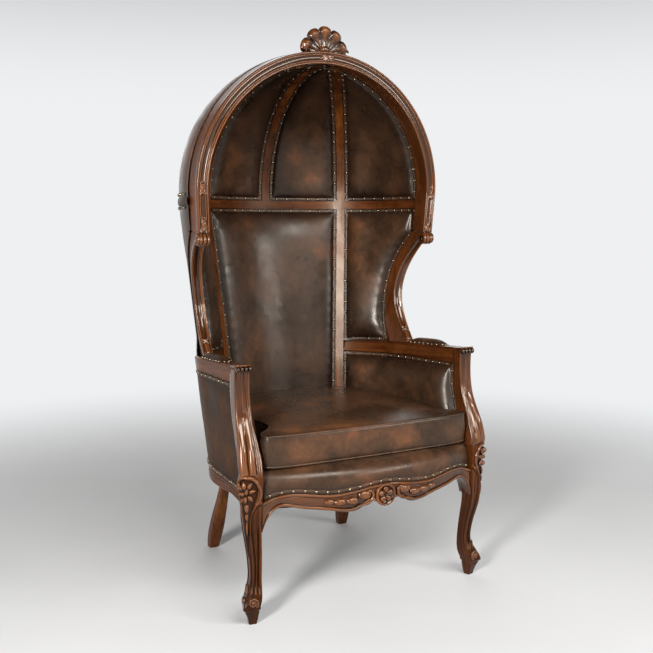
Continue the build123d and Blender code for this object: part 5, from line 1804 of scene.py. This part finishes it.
def puff_cushion(ob, seams):
    """Cloth with air inside; the seams stay where they are sewn."""
    group = ob.vertex_groups.new(name="seams")
    group.add(seams, 1.0, "REPLACE")
    before = np.array([v.co[:] for v in ob.data.vertices])
    mod = ob.modifiers.new("cloth", "CLOTH")
    for key, value in CLOTH.items():
        setattr(mod.settings, key, value)
    mod.settings.effector_weights.gravity = 0
    mod.collision_settings.use_collision = False
    mod.point_cache.frame_start = 1
    mod.point_cache.frame_end = CLOTH_FRAMES
    scene = bpy.context.scene
    for f in range(1, CLOTH_FRAMES + 1):
        scene.frame_set(f)
    deps = bpy.context.evaluated_depsgraph_get()
    after = np.array([v.co[:] for v in ob.evaluated_get(deps).to_mesh().vertices])
    ob.evaluated_get(deps).to_mesh_clear()
    scene.frame_set(1)
    ob.modifiers.remove(mod)
    move = after - before
    size = np.linalg.norm(move, axis=1)
    keep = np.where(size > 1e-9, MOST_MOVE * np.tanh(size / MOST_MOVE) / np.maximum(size, 1e-9), 0)
    after = before + move * keep[:, None]
    after[:, 2] = np.maximum(after[:, 2], DECK_TOP + 0.0008)
    ob.data.vertices.foreach_set("co", after.astype(np.float32).ravel())
    sub = ob.modifiers.new("sub", "SUBSURF")
    sub.levels = sub.render_levels = 1
    deps = bpy.context.evaluated_depsgraph_get()
    finer = bpy.data.meshes.new_from_object(ob.evaluated_get(deps))
    ob.modifiers.remove(sub)
    ob.data = finer
    ob.vertex_groups.clear()


make_cushion()


BAND_COLS, BAND_ROWS = 160, 13


def make_outer_band():
    """Padded band between the outer hood and the outer back."""
    k = np.linspace(0, 1, BAND_ROWS)
    rows = []
    for share in k:
        row = across_middle(plan_line(BAND_BOTTOM, 1.0, to_y=arch_back(BAND_BOTTOM) - 0.006))
        row = even(row, BAND_COLS)
        row[:, 2] = mix(BAND_BOTTOM + 0.0003, BAND_TOP - 0.0003, share)
        rows.append(row)
    p = np.stack(rows, 1)
    share = outer_share(p)
    p = settle(p, share)
    h = 0.0004 + 0.0044 * arc(2 * k - 1)[None]
    q = p + normal(p, share) * h[..., None]
    # Mask for painted shade, low along the band's top and bottom
    edge = np.clip(np.minimum(k, 1 - k) / 0.35, 0, 1)[None] * np.ones((BAND_COLS, 1))
    faces = grid_faces(BAND_COLS, BAND_ROWS)
    ob = new_mesh("outer_band_leather", q.reshape(-1, 3), faces, attrs={"edge": edge.ravel()},
                  material=LEATHER_OUT)
    face_side(ob)
    place(ob, nodes=["outer_band"])


make_outer_band()


# Layers of the seat, each a slab over the seat's plan
SEAT_MIDDLE = np.array((0, -0.06))


def seat_loop(inset):
    """The seat's plan inside its rails, drawn in by an inset."""
    inner = RAIL_BOW - RAIL_DEPTH
    side = plan_line(RAIL_TOP, 0.0)[:, :2]
    side = side[side[:, 1] > bow(side[:, 0], inner)]
    xs = np.linspace(side[-1, 0], 0, 30)[1:]
    half = np.vstack([side, np.stack([xs, bow(xs, inner)], -1)])
    loop = even(np.vstack([half, (half * (-1, 1))[::-1][1:]]), 181)[:-1]
    along = unit(np.roll(loop, -1, 0) - np.roll(loop, 1, 0))
    return loop + np.stack([-along[:, 1], along[:, 0]], -1) * -inset


def slab(name, inset, low, high, rounding, nodes, material, sag=0.0, rough=0.0):
    reach = seat_loop(inset) - SEAT_MIDDLE
    r = np.r_[0.02, np.linspace(0.1, 0.9, 17), 0.94, 0.97, 0.985, 0.995, 1.0]
    rows = []
    for sign, shares in ((1, r), (-1, r[::-1])):
        flat = SEAT_MIDDLE + reach[None] * shares[:, None, None]
        d = (1 - shares)[:, None] * np.linalg.norm(reach, axis=1)[None]
        rise = np.sqrt(np.clip(1 - (1 - np.clip(d / rounding, 0, 1)) ** 2, 0, 1))
        z = (low + high) / 2 + sign * (high - low) / 2 * np.maximum(rise, 0.04)
        z = z - sag * climb(d, 0, 0.25) ** 0.7
        p = np.concatenate([flat, z[..., None]], -1)
        p[..., 2] -= sign * rough * (0.5 + 0.5 * ripple(p, 14.0, 5.0 + sign)) * rise
        rows.append(p)
    p = np.concatenate(rows)
    n, m = p.shape[:2]
    faces = grid_faces(n, m, wrap_cols=True)
    faces += [tuple(range(m)), tuple((n - 1) * m + i for i in range(m))[::-1]]
    ob = new_mesh(name, p.reshape(-1, 3), faces, attrs={"edge": np.ones(n * m)}, material=material)
    face_out(ob)
    place(ob, nodes=nodes)
    return ob


deck = slab("seat_deck_leather", 0.001, DECK_TOP - 0.006, DECK_TOP - 0.0003, 0.012, ["seat_deck"], LEATHER)
stuffing = slab("seat_stuffing", 0.004, RAIL_TOP + 0.0050, DECK_TOP - 0.0068, 0.02, ["seat_foam"], STUFFING,
                rough=0.004)
LINING_INSET = 0.001
lining = slab("bottom_lining", LINING_INSET, RAIL_BOTTOM + 0.0002, RAIL_BOTTOM + 0.0016, 0.003,
              ["dust_cover"], LINING, sag=0.003)
loop = seat_loop(LINING_INSET)
WEB_HALF, WEB_THICK, WEB_POINTS = 0.0285, 0.0007, 90


def make_webbing():
    """Jute bands, five each way, over and under each other."""
    loop = seat_loop(-0.0075)
    front_y = bow(0, RAIL_BOW - RAIL_DEPTH)
    radius, center, half = level(RAIL_TOP, 0)
    middle = (front_y + center + radius) / 2
    pitch = (2 * half / 5.5, (center + radius - front_y) / 5.5)
    section = ((-WEB_HALF, -WEB_THICK), (WEB_HALF, -WEB_THICK), (WEB_HALF, WEB_THICK), (-WEB_HALF, WEB_THICK))
    verts, faces = [], []
    for axis in (0, 1):
        for k in range(-2, 3):
            at = k * pitch[1 - axis] + (middle if axis == 0 else 0)
            sides = []
            for edge in (-WEB_HALF, WEB_HALF):
                other = loop[:, 1 - axis] - (at + edge)
                cross_at = np.nonzero(np.sign(other) != np.sign(np.roll(other, -1)))[0]
                ends = sorted(loop[cross_at, axis])
                sides.append((ends[0], ends[-1]))
            run = np.linspace(max(a for a, _ in sides), min(b for _, b in sides), WEB_POINTS)
            phase = run / pitch[axis] if axis == 0 else (run - middle) / pitch[axis]
            z = RAIL_TOP + 0.0021 + 0.0011 * (1 - 2 * axis) * (-1) ** k * np.cos(pi * phase)
            base = len(verts) * 4 * WEB_POINTS
            corner = []
            for off, lift in section:
                xy = (run, np.full(WEB_POINTS, at + off))
                corner.append(np.stack([xy[axis], xy[1 - axis], z + lift], -1))
            verts.append(np.stack(corner, 1).reshape(-1, 3))
            faces += grid_faces(WEB_POINTS, 4, wrap_cols=True, start=base)
            last = base + (WEB_POINTS - 1) * 4
            faces += [tuple(base + i for i in range(4)), tuple(last + i for i in range(4))[::-1]]
    ob = new_mesh("woven_webbing", np.vstack(verts), faces, smooth=False, material=WEB)
    face_out(ob)
    place(ob, nodes=["seat_webbing"])


make_webbing()
finish_nails()

# CAD pieces that stay take a material of their own
LOOKS = {"hood_band": WOOD_LEVEL, "back_seat_rail": WOOD_LEVEL, "corner_block_screws": STEEL}
for name in ("hood_shell", "back_shell", "arm_shell_left", "arm_shell_right", "corner_blocks"):
    LOOKS[name] = SHELL
for name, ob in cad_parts.items():
    ob.data.materials.clear()
    ob.data.materials.append(LOOKS.get(name, WOOD_UP))

# Floor, camera and lights. Far from the chair the floor takes the backdrop's tone
BACKDROP = (0.86, 0.87, 0.88, 1)


def seen_directly(nt):
    """One for rays that show the backdrop: camera, glossy and transmission rays."""
    path = nt.nodes.new("ShaderNodeLightPath").outputs
    seen = combine(nt, path["Is Camera Ray"], path["Is Glossy Ray"], "MAXIMUM")
    return combine(nt, seen, path["Is Transmission Ray"], "MAXIMUM")


m, nt, bsdf = tree("pale_floor")
obj = object_at(nt)
n = node(nt, "ShaderNodeTexNoise", {"Vector": obj, "Scale": 2.0, "Detail": 3.0})
color = ramp(nt, n.outputs[0], [(0.3, (0.66, 0.655, 0.65)), (0.7, (0.69, 0.685, 0.68))])
feed(nt, bsdf, {"Base Color": color, "Roughness": 0.75})
far = node(nt, "ShaderNodeVectorMath", {0: obj}, operation="LENGTH").outputs["Value"]
far = node(nt, "ShaderNodeMapRange", {0: far, 1: 1.1, 2: 3.4}, interpolation_type="SMOOTHSTEP").outputs[0]
far = combine(nt, far, seen_directly(nt), "MULTIPLY")
glow = node(nt, "ShaderNodeEmission", {"Color": BACKDROP, "Strength": 1.0})
both = node(nt, "ShaderNodeMixShader", {0: far, 1: bsdf.outputs[0], 2: glow.outputs[0]})
feed(nt, nt.nodes["Material Output"], {0: both.outputs[0]})
FLOOR_HALF = 30
corners = [(x * FLOOR_HALF, y * FLOOR_HALF, 0) for x, y in ((-1, -1), (1, -1), (1, 1), (-1, 1))]
floor = new_mesh("floor", corners, [(0, 1, 2, 3)], material=m)

world = bpy.data.worlds.new("studio")
bpy.context.scene.world = world
world.use_nodes = True
nt = world.node_tree
up = node(nt, "ShaderNodeSeparateXYZ", {0: node(nt, "ShaderNodeTexCoord").outputs["Generated"]}).outputs[2]
dome_light = node(nt, "ShaderNodeMapRange", {0: up, 1: 0.12, 2: 0.45, 3: 1.0, 4: 0.16},
                  interpolation_type="SMOOTHSTEP").outputs[0]
total = combine(nt, dome_light, grey(nt, seen_directly(nt), 0.36, 1.0), "MULTIPLY")
feed(nt, nt.nodes["Background"], {"Strength": total, "Color": BACKDROP})


def area(name, at, target, size, power):
    light = bpy.data.lights.new(name, "AREA")
    light.shape = "RECTANGLE"
    light.size, light.size_y = size
    light.energy = power
    ob = bpy.data.objects.new(name, light)
    bpy.context.scene.collection.objects.link(ob)
    ob.location = at
    ob.rotation_euler = (Vector(target) - Vector(at)).to_track_quat("-Z", "Y").to_euler()


area("softbox_left", (-2.7, -2.2, 1.7), (0, -0.1, 0.75), (0.55, 1.3), 128)
area("softbox_right", (1.9, -2.9, 1.9), (0, 0, 0.7), (1.2, 0.6), 48)
area("softbox_top", (0.0, -2.7, 2.8), (0, -0.1, 0.6), (1.9, 0.8), 74)
area("softbox_front", (-0.75, -3.6, 1.75), (0, -0.2, 0.6), (0.5, 0.8), 7)
area("softbox_back", (1.0, 2.9, 2.3), (0, 0, 1.0), (3.4, 2.4), 40)

cam = bpy.data.cameras.new("camera")
cam.lens = 48.70
cam.sensor_width = 36
view = bpy.data.objects.new("camera", cam)
bpy.context.scene.collection.objects.link(view)
view.location = (-1.3088, -2.5009, 1.1001)
view.rotation_euler = (radians(90 - 6.54), 0, radians(-28.37))
bpy.context.scene.camera = view
bpy.context.scene.view_settings.view_transform = "Standard"
